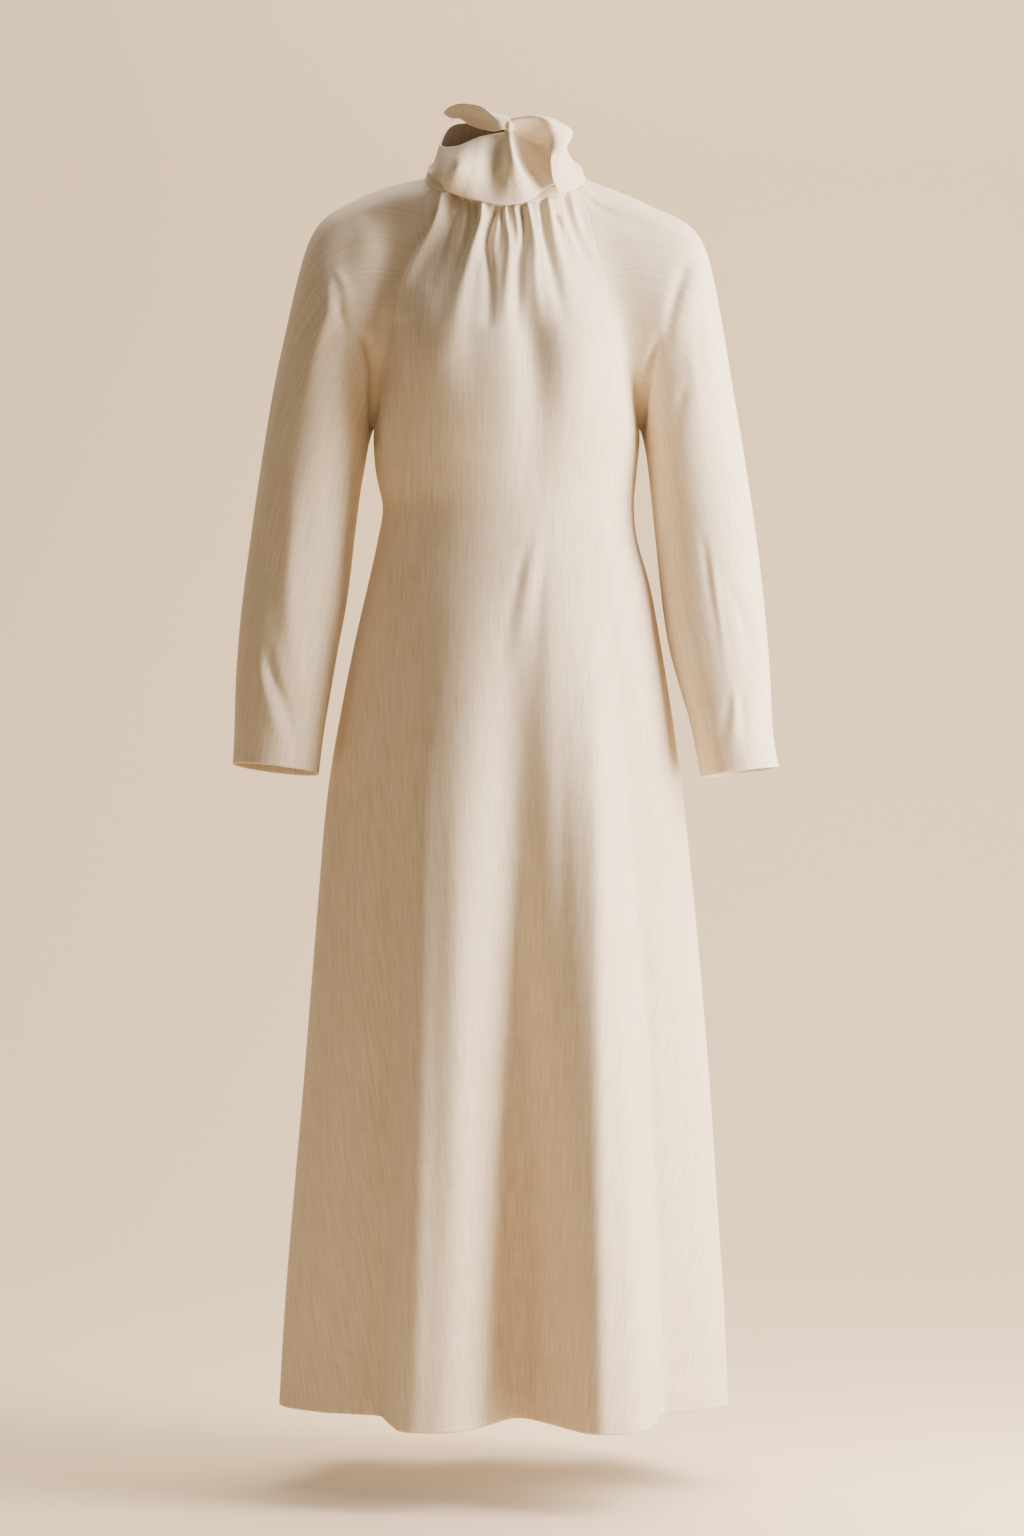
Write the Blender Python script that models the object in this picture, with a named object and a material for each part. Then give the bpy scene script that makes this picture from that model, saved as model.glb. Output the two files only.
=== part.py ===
"""A long-sleeved maxi dress with a gathered, tied neck, filled out as when worn.

The origin is the middle of the neck seam, level with its sides. +Z is up, the
front faces -Y and +X is the viewer's right. Sizes are in metres, angles in degrees.
Body angles run from 0 at centre front to 90 at the +X side and 180 at centre back.
"""

import math

import bmesh
import bpy
import numpy as np

# Driving dimensions
CLOTH = 0.0018  # wall of the panels
BAND_WALL = 0.0022  # neckband, two layers pressed together
SEAM_PULL = 0.00025  # each piece stops this far short of its seam line
GAP = 0.0003
NECK_SEAM_Z = 0.0
UNDERARM_Z = -0.2754
HEM_Z = -1.3208
TURNED_HEM = 0.010
HEM_STEP = 0.0006
BAND_HEIGHT = 0.011
BAND_LEAN = 0.003  # the band's top lies this far inside its foot
DIP_POWER = 1.3  # how the neckline climbs from its lowest place at centre front
GATHER_END_Z = -0.165  # the panel's columns are halved below this level
FRONT_COLUMNS = 72
BACK_COLUMNS = 14
NECK_ARC_COLUMNS = 4
SLEEVE_RINGS = 20
COLLAR_COLUMNS = 72
COLLAR_ROWS = 8

LINEN = ("undyed_linen", (0.62, 0.52, 0.40), 0.85)
LINEN_DOUBLE = ("undyed_linen_double", (0.66, 0.57, 0.46), 0.85)

# Body sections: height at the side, half widths to -X and +X, depth in front and
# behind, how far the front dips and the back rises, and the angle of the seam.
BODY = {
    "z": (0.000, -0.030, -0.070, -0.120, -0.170, -0.220, -0.2754, -0.324, -0.351, -0.3888,
          -0.432, -0.4968, -0.5616, -0.648, -0.7776, -0.8856, -0.9936, -1.1016, -1.2096, -1.3208),
    "left": (0.0870, 0.0940, 0.1080, 0.1270, 0.1390, 0.1430, 0.1436, 0.1395, 0.1330, 0.1385,
             0.1480, 0.1631, 0.1760, 0.1912, 0.2030, 0.2117, 0.2203, 0.2300, 0.2387, 0.2452),
    "right": (0.0850, 0.0930, 0.1080, 0.1270, 0.1390, 0.1435, 0.1450, 0.1404, 0.1382, 0.1415,
              0.1544, 0.1663, 0.1771, 0.1890, 0.2030, 0.2128, 0.2214, 0.2279, 0.2354, 0.2400),
    "front": (0.0750, 0.0860, 0.1000, 0.1130, 0.1220, 0.1270, 0.1230, 0.1110, 0.1060, 0.1060,
              0.1080, 0.1120, 0.1140, 0.1150, 0.1140, 0.1120, 0.1090, 0.1060, 0.1030, 0.1000),
    "back": (0.0660, 0.0800, 0.0960, 0.1080, 0.1130, 0.1110, 0.1070, 0.0990, 0.0960, 0.0990,
             0.1080, 0.1220, 0.1300, 0.1330, 0.1340, 0.1350, 0.1360, 0.1380, 0.1400, 0.1420),
    "dip": (0.0385, 0.0370, 0.0310, 0.0220, 0.0120, 0.0050, 0.0, 0.0, 0.0, 0.0,
            0.0, 0.0, 0.0, 0.0, 0.0, 0.0, 0.0, 0.0, 0.0, 0.0),
    "rise": (0.0200, 0.0180, 0.0140, 0.0090, 0.0040, 0.0010, 0.0, 0.0, 0.0, 0.0,
             0.0, 0.0, 0.0, 0.0, 0.0, 0.0, 0.0, 0.0, 0.0, 0.0),
    "seam": (62.0, 59.5, 58.0, 59.5, 64.0, 73.0, 90.0, 90.0, 90.0, 90.0,
             90.0, 90.0, 90.0, 90.0, 90.0, 90.0, 90.0, 90.0, 90.0, 90.0),
}
YOKE_LEVELS = (0.0, -0.012, -0.030, -0.052, -0.078, -0.107, -0.137, -0.167, -0.200, -0.237, UNDERARM_Z)
SKIRT_LEVELS = (-0.305, -0.332, -0.356, -0.385, -0.422, -0.470, -0.530, -0.600, -0.680, -0.770,
                -0.865, -0.965, -1.070, -1.175, -1.250,
                HEM_Z + TURNED_HEM + HEM_STEP, HEM_Z + TURNED_HEM, HEM_Z)

# Skirt flutes: angle of the crest, spread to its lower-angle and higher-angle
# side, how far it stands out at the hem, and the height where it begins.
FLUTES = (
    {"angle": -16.5, "below": 18.0, "above": 20.0, "out": 0.106, "top": -0.42},
    {"angle": 22.5, "below": 19.0, "above": 22.0, "out": 0.118, "top": -0.42},
    {"angle": 148.0, "below": 24.0, "above": 21.0, "out": 0.055, "top": -0.50},
    {"angle": -179.0, "below": 17.0, "above": 17.0, "out": 0.034, "top": -0.60},
    {"angle": -145.0, "below": 22.0, "above": 26.0, "out": 0.058, "top": -0.48},
)
FLUTE_CREST = 1.4  # above 1 the crest is broader than the valley

# Neck gathers: x where the fold leaves the neck seam, x and z where it dies away,
# its width at the seam and at its end, and its height (below 0 for a trough).
GATHERS = (
    {"x": -0.0676, "end_x": -0.1120, "end_z": -0.150, "width": 0.006, "end_width": 0.012, "out": -0.0018},
    {"x": -0.0612, "end_x": -0.1099, "end_z": -0.175, "width": 0.006, "end_width": 0.017, "out": 0.0026},
    {"x": -0.0560, "end_x": -0.0739, "end_z": -0.125, "width": 0.005, "end_width": 0.011, "out": -0.0022},
    {"x": -0.0490, "end_x": -0.0560, "end_z": -0.085, "width": 0.005, "end_width": 0.009, "out": 0.0018},
    {"x": -0.0411, "end_x": -0.0470, "end_z": -0.120, "width": 0.005, "end_width": 0.010, "out": -0.0026},
    {"x": -0.0330, "end_x": -0.0350, "end_z": -0.065, "width": 0.005, "end_width": 0.007, "out": 0.0014},
    {"x": -0.0242, "end_x": -0.0591, "end_z": -0.225, "width": 0.007, "end_width": 0.020, "out": 0.0036},
    {"x": -0.0110, "end_x": -0.0170, "end_z": -0.190, "width": 0.007, "end_width": 0.014, "out": -0.0034},
    {"x": -0.0030, "end_x": -0.0020, "end_z": -0.175, "width": 0.005, "end_width": 0.011, "out": 0.0026},
    {"x": 0.0040, "end_x": 0.0060, "end_z": -0.100, "width": 0.005, "end_width": 0.008, "out": -0.0018},
    {"x": 0.0120, "end_x": 0.0165, "end_z": -0.100, "width": 0.005, "end_width": 0.007, "out": 0.0020},
    {"x": 0.0181, "end_x": 0.0210, "end_z": -0.175, "width": 0.005, "end_width": 0.011, "out": -0.0026},
    {"x": 0.0265, "end_x": 0.0350, "end_z": -0.185, "width": 0.006, "end_width": 0.014, "out": 0.0028},
    {"x": 0.0370, "end_x": 0.0562, "end_z": -0.175, "width": 0.005, "end_width": 0.013, "out": -0.0024},
    {"x": 0.0445, "end_x": 0.0690, "end_z": -0.185, "width": 0.006, "end_width": 0.015, "out": 0.0026},
    {"x": 0.0530, "end_x": 0.0740, "end_z": -0.120, "width": 0.005, "end_width": 0.010, "out": -0.0018},
    {"x": 0.0600, "end_x": 0.0820, "end_z": -0.115, "width": 0.005, "end_width": 0.011, "out": 0.0018},
    {"x": 0.0657, "end_x": 0.0880, "end_z": -0.100, "width": 0.005, "end_width": 0.010, "out": -0.0020},
    {"x": 0.0715, "end_x": 0.0960, "end_z": -0.095, "width": 0.005, "end_width": 0.011, "out": 0.0022},
)

# Sleeve sections from the neck to the cuff: outer and inner edge, middle of the
# depth, the half depth, and how much the section rises towards its front.
SLEEVE_LEFT = {
    "outer_x": (-0.0870, -0.1188, -0.1652, -0.1998, -0.2187, -0.2376, -0.2519, -0.2646, -0.2765,
                -0.2855, -0.2905, -0.2915, -0.2930),
    "outer_z": (0.0, -0.0043, -0.0238, -0.0448, -0.0821, -0.1620, -0.2300, -0.3100, -0.3950,
                -0.4700, -0.5400, -0.5950, -0.6307),
    "inner_x": (-0.1436, -0.1438, -0.1443, -0.1455, -0.1480, -0.1515, -0.1570, -0.1631, -0.1706,
                -0.1800, -0.1880, -0.1955, -0.2003),
    "inner_z": (-0.2754, -0.2762, -0.2780, -0.2810, -0.2880, -0.3070, -0.3390, -0.3888, -0.4536,
                -0.5050, -0.5535, -0.6000, -0.6415),
    "middle_y": (0.0, 0.0, 0.0, 0.001, 0.002, 0.002, 0.001, -0.002, -0.007, -0.013, -0.020, -0.027, -0.031),
    "depth": (0.060, 0.060, 0.063, 0.066, 0.068, 0.069, 0.068, 0.065, 0.062, 0.058, 0.053, 0.050, 0.048),
    "rise": (0.0, 0.0, 0.0, 0.0, 0.0, 0.0, 0.0, 0.01, 0.02, 0.04, 0.06, 0.08, 0.09),
}
SLEEVE_RIGHT = {
    "outer_x": (0.0850, 0.1166, 0.1600, 0.1976, 0.2182, 0.2340, 0.2458, 0.2590, 0.2710,
                0.2790, 0.2842, 0.2862, 0.2925),
    "outer_z": (0.0, -0.0108, -0.0310, -0.0486, -0.0810, -0.1580, -0.2300, -0.3100, -0.3950,
                -0.4700, -0.5400, -0.5950, -0.6340),
    "inner_x": (0.1450, 0.1452, 0.1458, 0.1470, 0.1492, 0.1525, 0.1560, 0.1610, 0.1675,
                0.1750, 0.1870, 0.1985, 0.2084),
    "inner_z": (-0.2754, -0.2762, -0.2780, -0.2810, -0.2880, -0.3070, -0.3390, -0.3888, -0.4536,
                -0.5050, -0.5500, -0.5900, -0.6448),
    "middle_y": SLEEVE_LEFT["middle_y"],
    "depth": SLEEVE_LEFT["depth"],
    "rise": (0.0, 0.0, 0.0, 0.0, 0.0, 0.0, 0.0, 0.01, 0.02, 0.03, 0.04, 0.05, 0.05),
}
LOOP_FADE = 5.5  # sections over which the neck-to-underarm seam turns into an oval
SEAM_EASE = 0.035  # how far from the raglan seam the shoulder is smoothed
SEAM_EASE_STEPS = 10
UNDERARM_KEPT = 0.05  # the smoothing fades out over this height above the underarm

# Collar ribs, from centre back round by -X: foot angle, rise and distance out from
# the neck seam, then a point half way up and the point on the top edge.
COLLAR_RIBS = (
    (-180.0, 0.0122, -0.0030, (0.000, 0.067, 0.045), (0.000, 0.062, 0.070)),
    (-150.0, 0.0122, -0.0030, (-0.045, 0.058, 0.042), (-0.041, 0.055, 0.069)),
    (-120.0, 0.0122, -0.0030, (-0.071, 0.036, 0.034), (-0.061, 0.036, 0.0625)),
    (-90.0, 0.0122, -0.0030, (-0.0795, 0.000, 0.021), (-0.0715, 0.008, 0.044)),
    (-66.0, 0.0130, 0.0015, (-0.0760, -0.034, 0.009), (-0.0680, -0.020, 0.034)),
    (-50.0, 0.0100, 0.0035, (-0.0665, -0.052, 0.006), (-0.0570, -0.036, 0.0310)),
    (-40.0, 0.0070, 0.0050, (-0.0560, -0.070, 0.004), (-0.0470, -0.048, 0.0310)),
    (-27.0, 0.0025, 0.0070, (-0.0340, -0.082, 0.003), (-0.0295, -0.057, 0.0370)),
    (-11.0, 0.0015, 0.0060, (-0.0110, -0.0755, 0.006), (-0.0120, -0.060, 0.0405)),
    (4.0, 0.0015, 0.0060, (0.0030, -0.085, 0.008), (-0.0005, -0.060, 0.0423)),
    (18.0, 0.0035, 0.0080, (0.0110, -0.082, 0.010), (0.0045, -0.061, 0.0425)),
    (27.0, 0.0120, 0.0030, (0.0175, -0.061, 0.014), (0.0090, -0.056, 0.0440)),
    (35.0, 0.0128, -0.0030, (0.0310, -0.050, 0.018), (0.0190, -0.049, 0.0490)),
    (43.0, 0.0128, -0.0030, (0.0430, -0.048, 0.019), (0.0340, -0.042, 0.0530)),
    (60.0, 0.0124, -0.0030, (0.0570, -0.034, 0.020), (0.0500, -0.026, 0.0540)),
    (90.0, 0.0122, -0.0030, (0.0690, 0.000, 0.024), (0.0610, 0.004, 0.0560)),
    (120.0, 0.0122, -0.0030, (0.0640, 0.034, 0.036), (0.0550, 0.034, 0.0620)),
    (150.0, 0.0122, -0.0030, (0.0430, 0.057, 0.042), (0.0370, 0.054, 0.0690)),
)

# The loop, from the knot over to the right and down: its free front edge, its
# crest and its back edge.
LOOP_SECTIONS = (
    ((0.0094, -0.0660, 0.0470), (0.0094, -0.0640, 0.0540), (0.0094, -0.0590, 0.0570)),
    ((0.0180, -0.0700, 0.0370), (0.0180, -0.0700, 0.0540), (0.0200, -0.0520, 0.0590)),
    ((0.0330, -0.0740, 0.0310), (0.0340, -0.0740, 0.0530), (0.0360, -0.0500, 0.0600)),
    ((0.0460, -0.0770, 0.0270), (0.0515, -0.0730, 0.0480), (0.0560, -0.0430, 0.0560)),
    ((0.0485, -0.0770, 0.0150), (0.0650, -0.0660, 0.0350), (0.0715, -0.0390, 0.0460)),
    ((0.0485, -0.0770, 0.0020), (0.0610, -0.0660, 0.0190), (0.0655, -0.0370, 0.0310)),
    ((0.0500, -0.0770, -0.0090), (0.0605, -0.0640, 0.0050), (0.0605, -0.0350, 0.0220)),
    ((0.0530, -0.0760, -0.0180), (0.0680, -0.0590, -0.0080), (0.0735, -0.0310, 0.0110)),
    ((0.0565, -0.0740, -0.0255), (0.0730, -0.0560, -0.0190), (0.0855, -0.0260, -0.0005)),
)

# The tie end, from the knot to its tip: lower edge, middle and upper edge.
END_SECTIONS = (
    ((-0.0031, -0.0690, 0.0455), (-0.0031, -0.0665, 0.0530), (-0.0031, -0.0600, 0.0590)),
    ((-0.0120, -0.0680, 0.0432), (-0.0110, -0.0670, 0.0530), (-0.0120, -0.0540, 0.0650)),
    ((-0.0250, -0.0640, 0.0462), (-0.0235, -0.0630, 0.0570), (-0.0250, -0.0480, 0.0692)),
    ((-0.0385, -0.0580, 0.0516), (-0.0385, -0.0570, 0.0625), (-0.0385, -0.0430, 0.0725)),
    ((-0.0490, -0.0520, 0.0592), (-0.0490, -0.0510, 0.0665), (-0.0490, -0.0410, 0.0738)),
    ((-0.0580, -0.0450, 0.0605), (-0.0595, -0.0460, 0.0665), (-0.0590, -0.0400, 0.0722)),
    ((-0.0630, -0.0420, 0.0620), (-0.0665, -0.0420, 0.0660), (-0.0640, -0.0400, 0.0695)),
)
KNOT_PLACE = (0.003, -0.064, 0.0505)
KNOT_RADII = (0.0060, 0.0075, 0.0080)
KNOT_WRAPS = 3  # soft ridges of cloth wrapped round the knot
KNOT_WRAP_HEIGHT = 0.05


def through(values, at):
    """The smooth curve through evenly numbered values, read at the numbers given."""
    values = np.asarray(values, float)
    at = np.clip(np.asarray(at, float), 0, len(values) - 1)
    start = np.minimum(at.astype(int), len(values) - 2)
    part = at - start
    if values.ndim > 1:
        part = part[..., None]
    slopes = np.gradient(values, axis=0)
    rise = values[start + 1] - values[start]
    bend = slopes[start] - rise
    end_bend = rise - slopes[start + 1]
    curve = values[start] + part * rise
    return curve + part * (1 - part) * (bend * (1 - part) + end_bend * part)


def body_at(name, z):
    """One column of the body table at height z."""
    place = np.interp(-z, -np.array(BODY["z"]), np.arange(len(BODY["z"])))
    return through(BODY[name], place)


def seam_angle(z):
    """The body angle of the panels' side edge: the raglan seam, then the side seam."""
    return min(float(body_at("seam", z)), 90.0)


def flute_height(angle, z):
    """How far the skirt's flutes stand out at a body angle and height."""
    total = 0.0
    for flute in FLUTES:
        away = (angle - flute["angle"] + 180.0) % 360.0 - 180.0
        spread = flute["above"] if away > 0 else flute["below"]
        if abs(away) >= spread or z >= flute["top"]:
            continue
        grown = (flute["top"] - z) / (flute["top"] - HEM_Z)
        across = (abs(away) / spread) ** FLUTE_CREST
        total += flute["out"] * grown**1.25 * 0.5 * (1 + math.cos(math.pi * across))
    return total


def body_point(angle, z):
    """A point of the body's surface at a body angle and side height."""
    turn = math.radians(angle)
    half = body_at("right" if math.sin(turn) >= 0 else "left", z)
    depth = body_at("front" if math.cos(turn) >= 0 else "back", z)
    outward = np.array([math.sin(turn) / half, -math.cos(turn) / depth])
    outward = unit(outward)
    flat = np.array([half * math.sin(turn), -depth * math.cos(turn)]) + outward * flute_height(angle, z)
    from_front = abs((angle + 180.0) % 360.0 - 180.0)
    if from_front < 90.0:
        level = z - body_at("dip", z) * (1 - (from_front / 90.0) ** DIP_POWER)
    else:
        level = z + body_at("rise", z) * (1 - ((180.0 - from_front) / 90.0) ** 2)
    return np.array([flat[0], flat[1], level])


def gather_height(points):
    """How far the neck's gathers lift or sink each point of the front."""
    lift = np.zeros(len(points))
    x, y, z = points.T
    for fold in GATHERS:
        top = -0.036
        along = np.clip((top - z) / (top - fold["end_z"]), 0, 1)
        middle = fold["x"] + (fold["end_x"] - fold["x"]) * along
        width = fold["width"] + (fold["end_width"] - fold["width"]) * along
        across = np.clip(np.abs(x - middle) / width, 0, 1)
        fade = (1 - along) ** 0.7 * (0.55 + 0.45 * np.clip(along / 0.12, 0, 1))
        lift += fold["out"] * fade * 0.5 * (1 + np.cos(math.pi * across)) * (y < 0)
    return lift


def levels():
    return list(YOKE_LEVELS) + list(SKIRT_LEVELS)


def front_rows():
    """The front panel's rows of points: the upper ones have twice the columns."""
    rows = []
    for z in levels():
        edge = seam_angle(z)
        count = FRONT_COLUMNS if z > GATHER_END_Z else FRONT_COLUMNS // 2
        rows.append([body_point(edge * (2 * i / count - 1), z) for i in range(count + 1)])
    return rows


def back_rows(side):
    """One back panel's rows, from its side seam to the centre-back seam."""
    rows = []
    for z in levels():
        edge = 180.0 - seam_angle(z)
        angles = [edge + (180.0 - edge) * i / BACK_COLUMNS for i in range(BACK_COLUMNS + 1)]
        rows.append([body_point(side * angle, z) for angle in angles])
    return rows


def sleeve_rows(table, side):
    """A sleeve's rings, from the raglan seam and the neck to the cuff."""
    front = [body_point(side * seam_angle(z), z) for z in reversed(YOKE_LEVELS)]
    back = [body_point(side * (180.0 - seam_angle(z)), z) for z in YOKE_LEVELS]
    edge = seam_angle(NECK_SEAM_Z)
    steps = range(1, NECK_ARC_COLUMNS)
    neck = [body_point(side * (edge + (180 - 2 * edge) * i / NECK_ARC_COLUMNS), 0.0) for i in steps]
    loop = np.array(front + neck + back[:-1])
    step_lengths = np.linalg.norm(np.diff(np.vstack([loop, loop[:1]]), axis=0), axis=1)
    turn = 2 * math.pi * np.concatenate([[0], np.cumsum(step_lengths)[:-1]]) / step_lengths.sum()

    def oval(section):
        outer = np.array([through(table["outer_x"], section), 0.0, through(table["outer_z"], section)])
        inner = np.array([through(table["inner_x"], section), 0.0, through(table["inner_z"], section)])
        ring = (outer + inner) / 2 + np.cos(turn)[:, None] * (inner - outer) / 2
        forward = through(table["depth"], section) * np.sin(turn)
        ring[:, 1] = through(table["middle_y"], section) - forward
        ring[:, 2] += through(table["rise"], section) * forward
        return ring

    last = len(table["depth"]) - 1
    hem = TURNED_HEM / abs(table["inner_z"][-1] - table["inner_z"][-2])
    step = HEM_STEP / abs(table["inner_z"][-1] - table["inner_z"][-2])
    sections = list(np.linspace(0, last - hem * 1.8, SLEEVE_RINGS - 2)) + [last - hem - step, last - hem, last]
    rows = []
    for section in sections:
        left_over = max(0.0, 1 - section / LOOP_FADE)
        keep = left_over * left_over * (3 - 2 * left_over)
        rows.append(list(oval(section) + keep * (loop - oval(0.0))))
    return rows


def sheet_faces(rows, closed):
    """Faces between rows of points; a row may have half the columns of the one above."""
    starts = np.concatenate([[0], np.cumsum([len(row) for row in rows])])
    faces = []
    for r in range(len(rows) - 1):
        upper, lower = starts[r], starts[r + 1]
        wide, narrow = len(rows[r]), len(rows[r + 1])
        if wide == narrow:
            for i in range(wide if closed else wide - 1):
                j = (i + 1) % wide
                faces.append((upper + i, lower + i, lower + j, upper + j))
            continue
        for i in range(narrow - 1):
            faces.append((upper + 2 * i, lower + i, upper + 2 * i + 1))
            faces.append((upper + 2 * i + 1, lower + i, lower + i + 1))
            faces.append((upper + 2 * i + 1, lower + i + 1, upper + 2 * i + 2))
    return faces


def flipped(faces):
    return [tuple(reversed(face)) for face in faces]


def vertex_normals(points, faces):
    normals = np.zeros_like(points)
    for face in faces:
        corners = points[list(face)]
        area = np.zeros(3)
        for i in range(1, len(face) - 1):
            area += np.cross(corners[i] - corners[0], corners[i + 1] - corners[0])
        normals[list(face)] += area
    return normals / np.linalg.norm(normals, axis=1)[:, None]


def rim_edges(faces):
    """The edges that one face alone uses, in that face's direction."""
    seen = {}
    for face in faces:
        for a, b in zip(face, face[1:] + face[:1]):
            key = (min(a, b), max(a, b))
            seen[key] = None if key in seen else (a, b)
    return [edge for edge in seen.values() if edge]


def unit(vector):
    return vector / np.linalg.norm(vector)


def pulled_back(points, faces, distance):
    """The points with those on the rim moved in, square to it, onto their own faces."""
    rim = rim_edges(faces)
    along = {end: np.zeros(3) for edge in rim for end in edge}
    inward = {end: np.zeros(3) for end in along}
    for a, b in rim:
        along[a] += unit(points[b] - points[a])
        along[b] += unit(points[b] - points[a])
    for face in faces:
        centre = points[list(face)].mean(axis=0)
        for index in face:
            if index in inward:
                inward[index] += unit(centre - points[index])
    moved = points.copy()
    for index, way in inward.items():
        line = unit(along[index])
        moved[index] += unit(way - line * (way @ line)) * distance
    return moved


def linen(kind):
    name, colour, roughness = kind
    material = bpy.data.materials.get(name) or bpy.data.materials.new(name)
    material.use_nodes = True
    shader = material.node_tree.nodes["Principled BSDF"]
    shader.inputs["Base Color"].default_value = (*colour, 1.0)
    shader.inputs["Roughness"].default_value = roughness
    shader.inputs["Metallic"].default_value = 0.0
    return material


def add_object(name, points, faces, kind):
    mesh = bpy.data.meshes.new(name)
    mesh.from_pydata([tuple(point) for point in points], [], faces)
    mesh.materials.append(linen(kind))
    mesh.shade_smooth()
    mesh.set_sharp_from_angle(angle=math.radians(50))
    obj = bpy.data.objects.new(name, mesh)
    bpy.context.scene.collection.objects.link(obj)
    return obj


def add_wall(name, outer, inward, faces, kind):
    """A closed wall: the outer sheet, the same sheet moved inward, and the rims."""
    used = sorted({index for face in faces for index in face})
    number = {old: new for new, old in enumerate(used)}
    count = len(used)
    skin = [tuple(number[i] for i in face) for face in faces]
    inner = [tuple(reversed([i + count for i in face])) for face in skin]
    rims = [(b, a, a + count, b + count) for a, b in rim_edges(skin)]
    points = np.vstack([outer[used], outer[used] + inward[used]])
    return add_object(name, points, skin + inner + rims, kind)


def joined_sheet(pieces):
    """All the panels' points welded where they meet, and each panel's faces in them."""
    points = np.vstack([np.array([p for row in rows for p in row]) for rows, _, _ in pieces.values()])
    keys, index = np.unique(np.round(points, 6), axis=0, return_inverse=True)
    index = index.reshape(-1)
    start = 0
    faces = {}
    for name, (rows, closed, turned) in pieces.items():
        local = sheet_faces(rows, closed)
        local = flipped(local) if turned else local
        faces[name] = [tuple(int(index[start + i]) for i in face) for face in local]
        start += sum(len(row) for row in rows)
    return keys, faces


def eased(points, faces):
    """The sheet with the shoulders smoothed on both sides of the raglan seams."""
    everything = [face for group in faces.values() for face in group]
    body = {i for name in faces if name.startswith("dress") for face in faces[name] for i in face}
    sleeve = {i for name in faces if name.startswith("sleeve") for face in faces[name] for i in face}
    seam = points[sorted(body & sleeve)]
    fixed = {end for edge in rim_edges(everything) for end in edge}
    nearest = np.array([np.linalg.norm(seam - p, axis=1).min() for p in points])
    weight = np.exp(-((nearest / SEAM_EASE) ** 2))
    weight *= np.clip((points[:, 2] - UNDERARM_Z) / UNDERARM_KEPT, 0, 1)
    weight[sorted(fixed)] = 0.0
    ends = np.array([(a, b) for face in everything for a, b in zip(face, face[1:] + face[:1])])
    count = np.bincount(ends.reshape(-1), minlength=len(points))
    for _ in range(SEAM_EASE_STEPS):
        total = np.zeros_like(points)
        np.add.at(total, ends[:, 0], points[ends[:, 1]])
        np.add.at(total, ends[:, 1], points[ends[:, 0]])
        points = points + 0.5 * weight[:, None] * (total / count[:, None] - points)
    return points


def add_panels():
    """Front, two backs and two sleeves, cut from one continuous sheet."""
    pieces = {
        "dress_front": (front_rows(), False, False),
        "dress_back_right": (back_rows(1), False, False),
        "dress_back_left": (back_rows(-1), False, True),
        "sleeve_right": (sleeve_rows(SLEEVE_RIGHT, 1), True, False),
        "sleeve_left": (sleeve_rows(SLEEVE_LEFT, -1), True, True),
    }
    points, faces = joined_sheet(pieces)
    points = eased(points, faces)
    normals = vertex_normals(points, [face for group in faces.values() for face in group])
    wall = np.full(len(points), CLOTH)
    wall[points[:, 2] < HEM_Z + TURNED_HEM + HEM_STEP / 2] = 2 * CLOTH
    for table, side in ((SLEEVE_LEFT, -1), (SLEEVE_RIGHT, 1)):
        rows = np.array(sleeve_rows(table, side)[-2:]).reshape(-1, 3)
        cuff = [np.linalg.norm(rows - p, axis=1).min() < 1e-5 for p in points]
        wall[np.array(cuff)] = 2 * CLOTH
    shaped = points + normals * gather_height(points)[:, None]
    for name, group in faces.items():
        outer = pulled_back(shaped, group, SEAM_PULL)
        add_wall(name, outer, -normals * wall[:, None], group, LINEN)


def outward_of(angle):
    """The level direction straight out from the neck seam at a body angle."""
    turn = math.radians(angle)
    half = body_at("right" if math.sin(turn) >= 0 else "left", NECK_SEAM_Z)
    depth = body_at("front" if math.cos(turn) >= 0 else "back", NECK_SEAM_Z)
    way = np.array([math.sin(turn) / half, -math.cos(turn) / depth, 0.0])
    return unit(way)


def ring_angles():
    """The body angles of the neckband's and the collar's columns."""
    return [360.0 * i / COLLAR_COLUMNS - 180.0 for i in range(COLLAR_COLUMNS)]


def add_neckband():
    """The narrow ring above the gathers, a little proud of them."""
    ways = np.array([outward_of(angle) for angle in ring_angles()])
    seam = np.array([body_point(angle, NECK_SEAM_Z) for angle in ring_angles()]) + ways * GAP
    rows = [list(seam - ways * BAND_LEAN * up + np.array([0, 0, GAP + BAND_HEIGHT * up])) for up in (1, 0)]
    points = np.array(rows).reshape(-1, 3)
    inward = np.vstack([-ways * BAND_WALL] * len(rows))
    add_wall("neckband", points, inward, sheet_faces(rows, True), LINEN_DOUBLE)


def collar_rows():
    """The collar's rings from its top edge down to its foot."""
    ribs = [[angle, rise, out, *middle, *top] for angle, rise, out, middle, top in COLLAR_RIBS]
    turns = range(-2, len(ribs) + 3)
    around = np.array([ribs[i % len(ribs)] for i in turns])
    around[:, 0] += [360.0 * (i // len(ribs)) for i in turns]
    angles = ring_angles()
    place = np.interp(angles, around[:, 0], np.arange(len(around)))
    lines = []
    for angle, (_, rise, out, *rest) in zip(angles, through(around, place)):
        foot = body_point(angle, NECK_SEAM_Z) + outward_of(angle) * (GAP + out) + np.array([0, 0, rise])
        lines.append(np.array([rest[3:], rest[:3], foot]))
    return [[through(line, at) for line in lines] for at in np.linspace(0, 2, COLLAR_ROWS)]


def add_collar():
    """The stand-up collar: bellied in front, folded towards the knot at its top."""
    rows = collar_rows()
    faces = sheet_faces(rows, True)
    points = np.array([p for row in rows for p in row])
    inward = -vertex_normals(points, faces) * CLOTH
    inward[-COLLAR_COLUMNS:, 2] = 0.0
    add_wall("collar", points, inward, faces, LINEN_DOUBLE)


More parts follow.
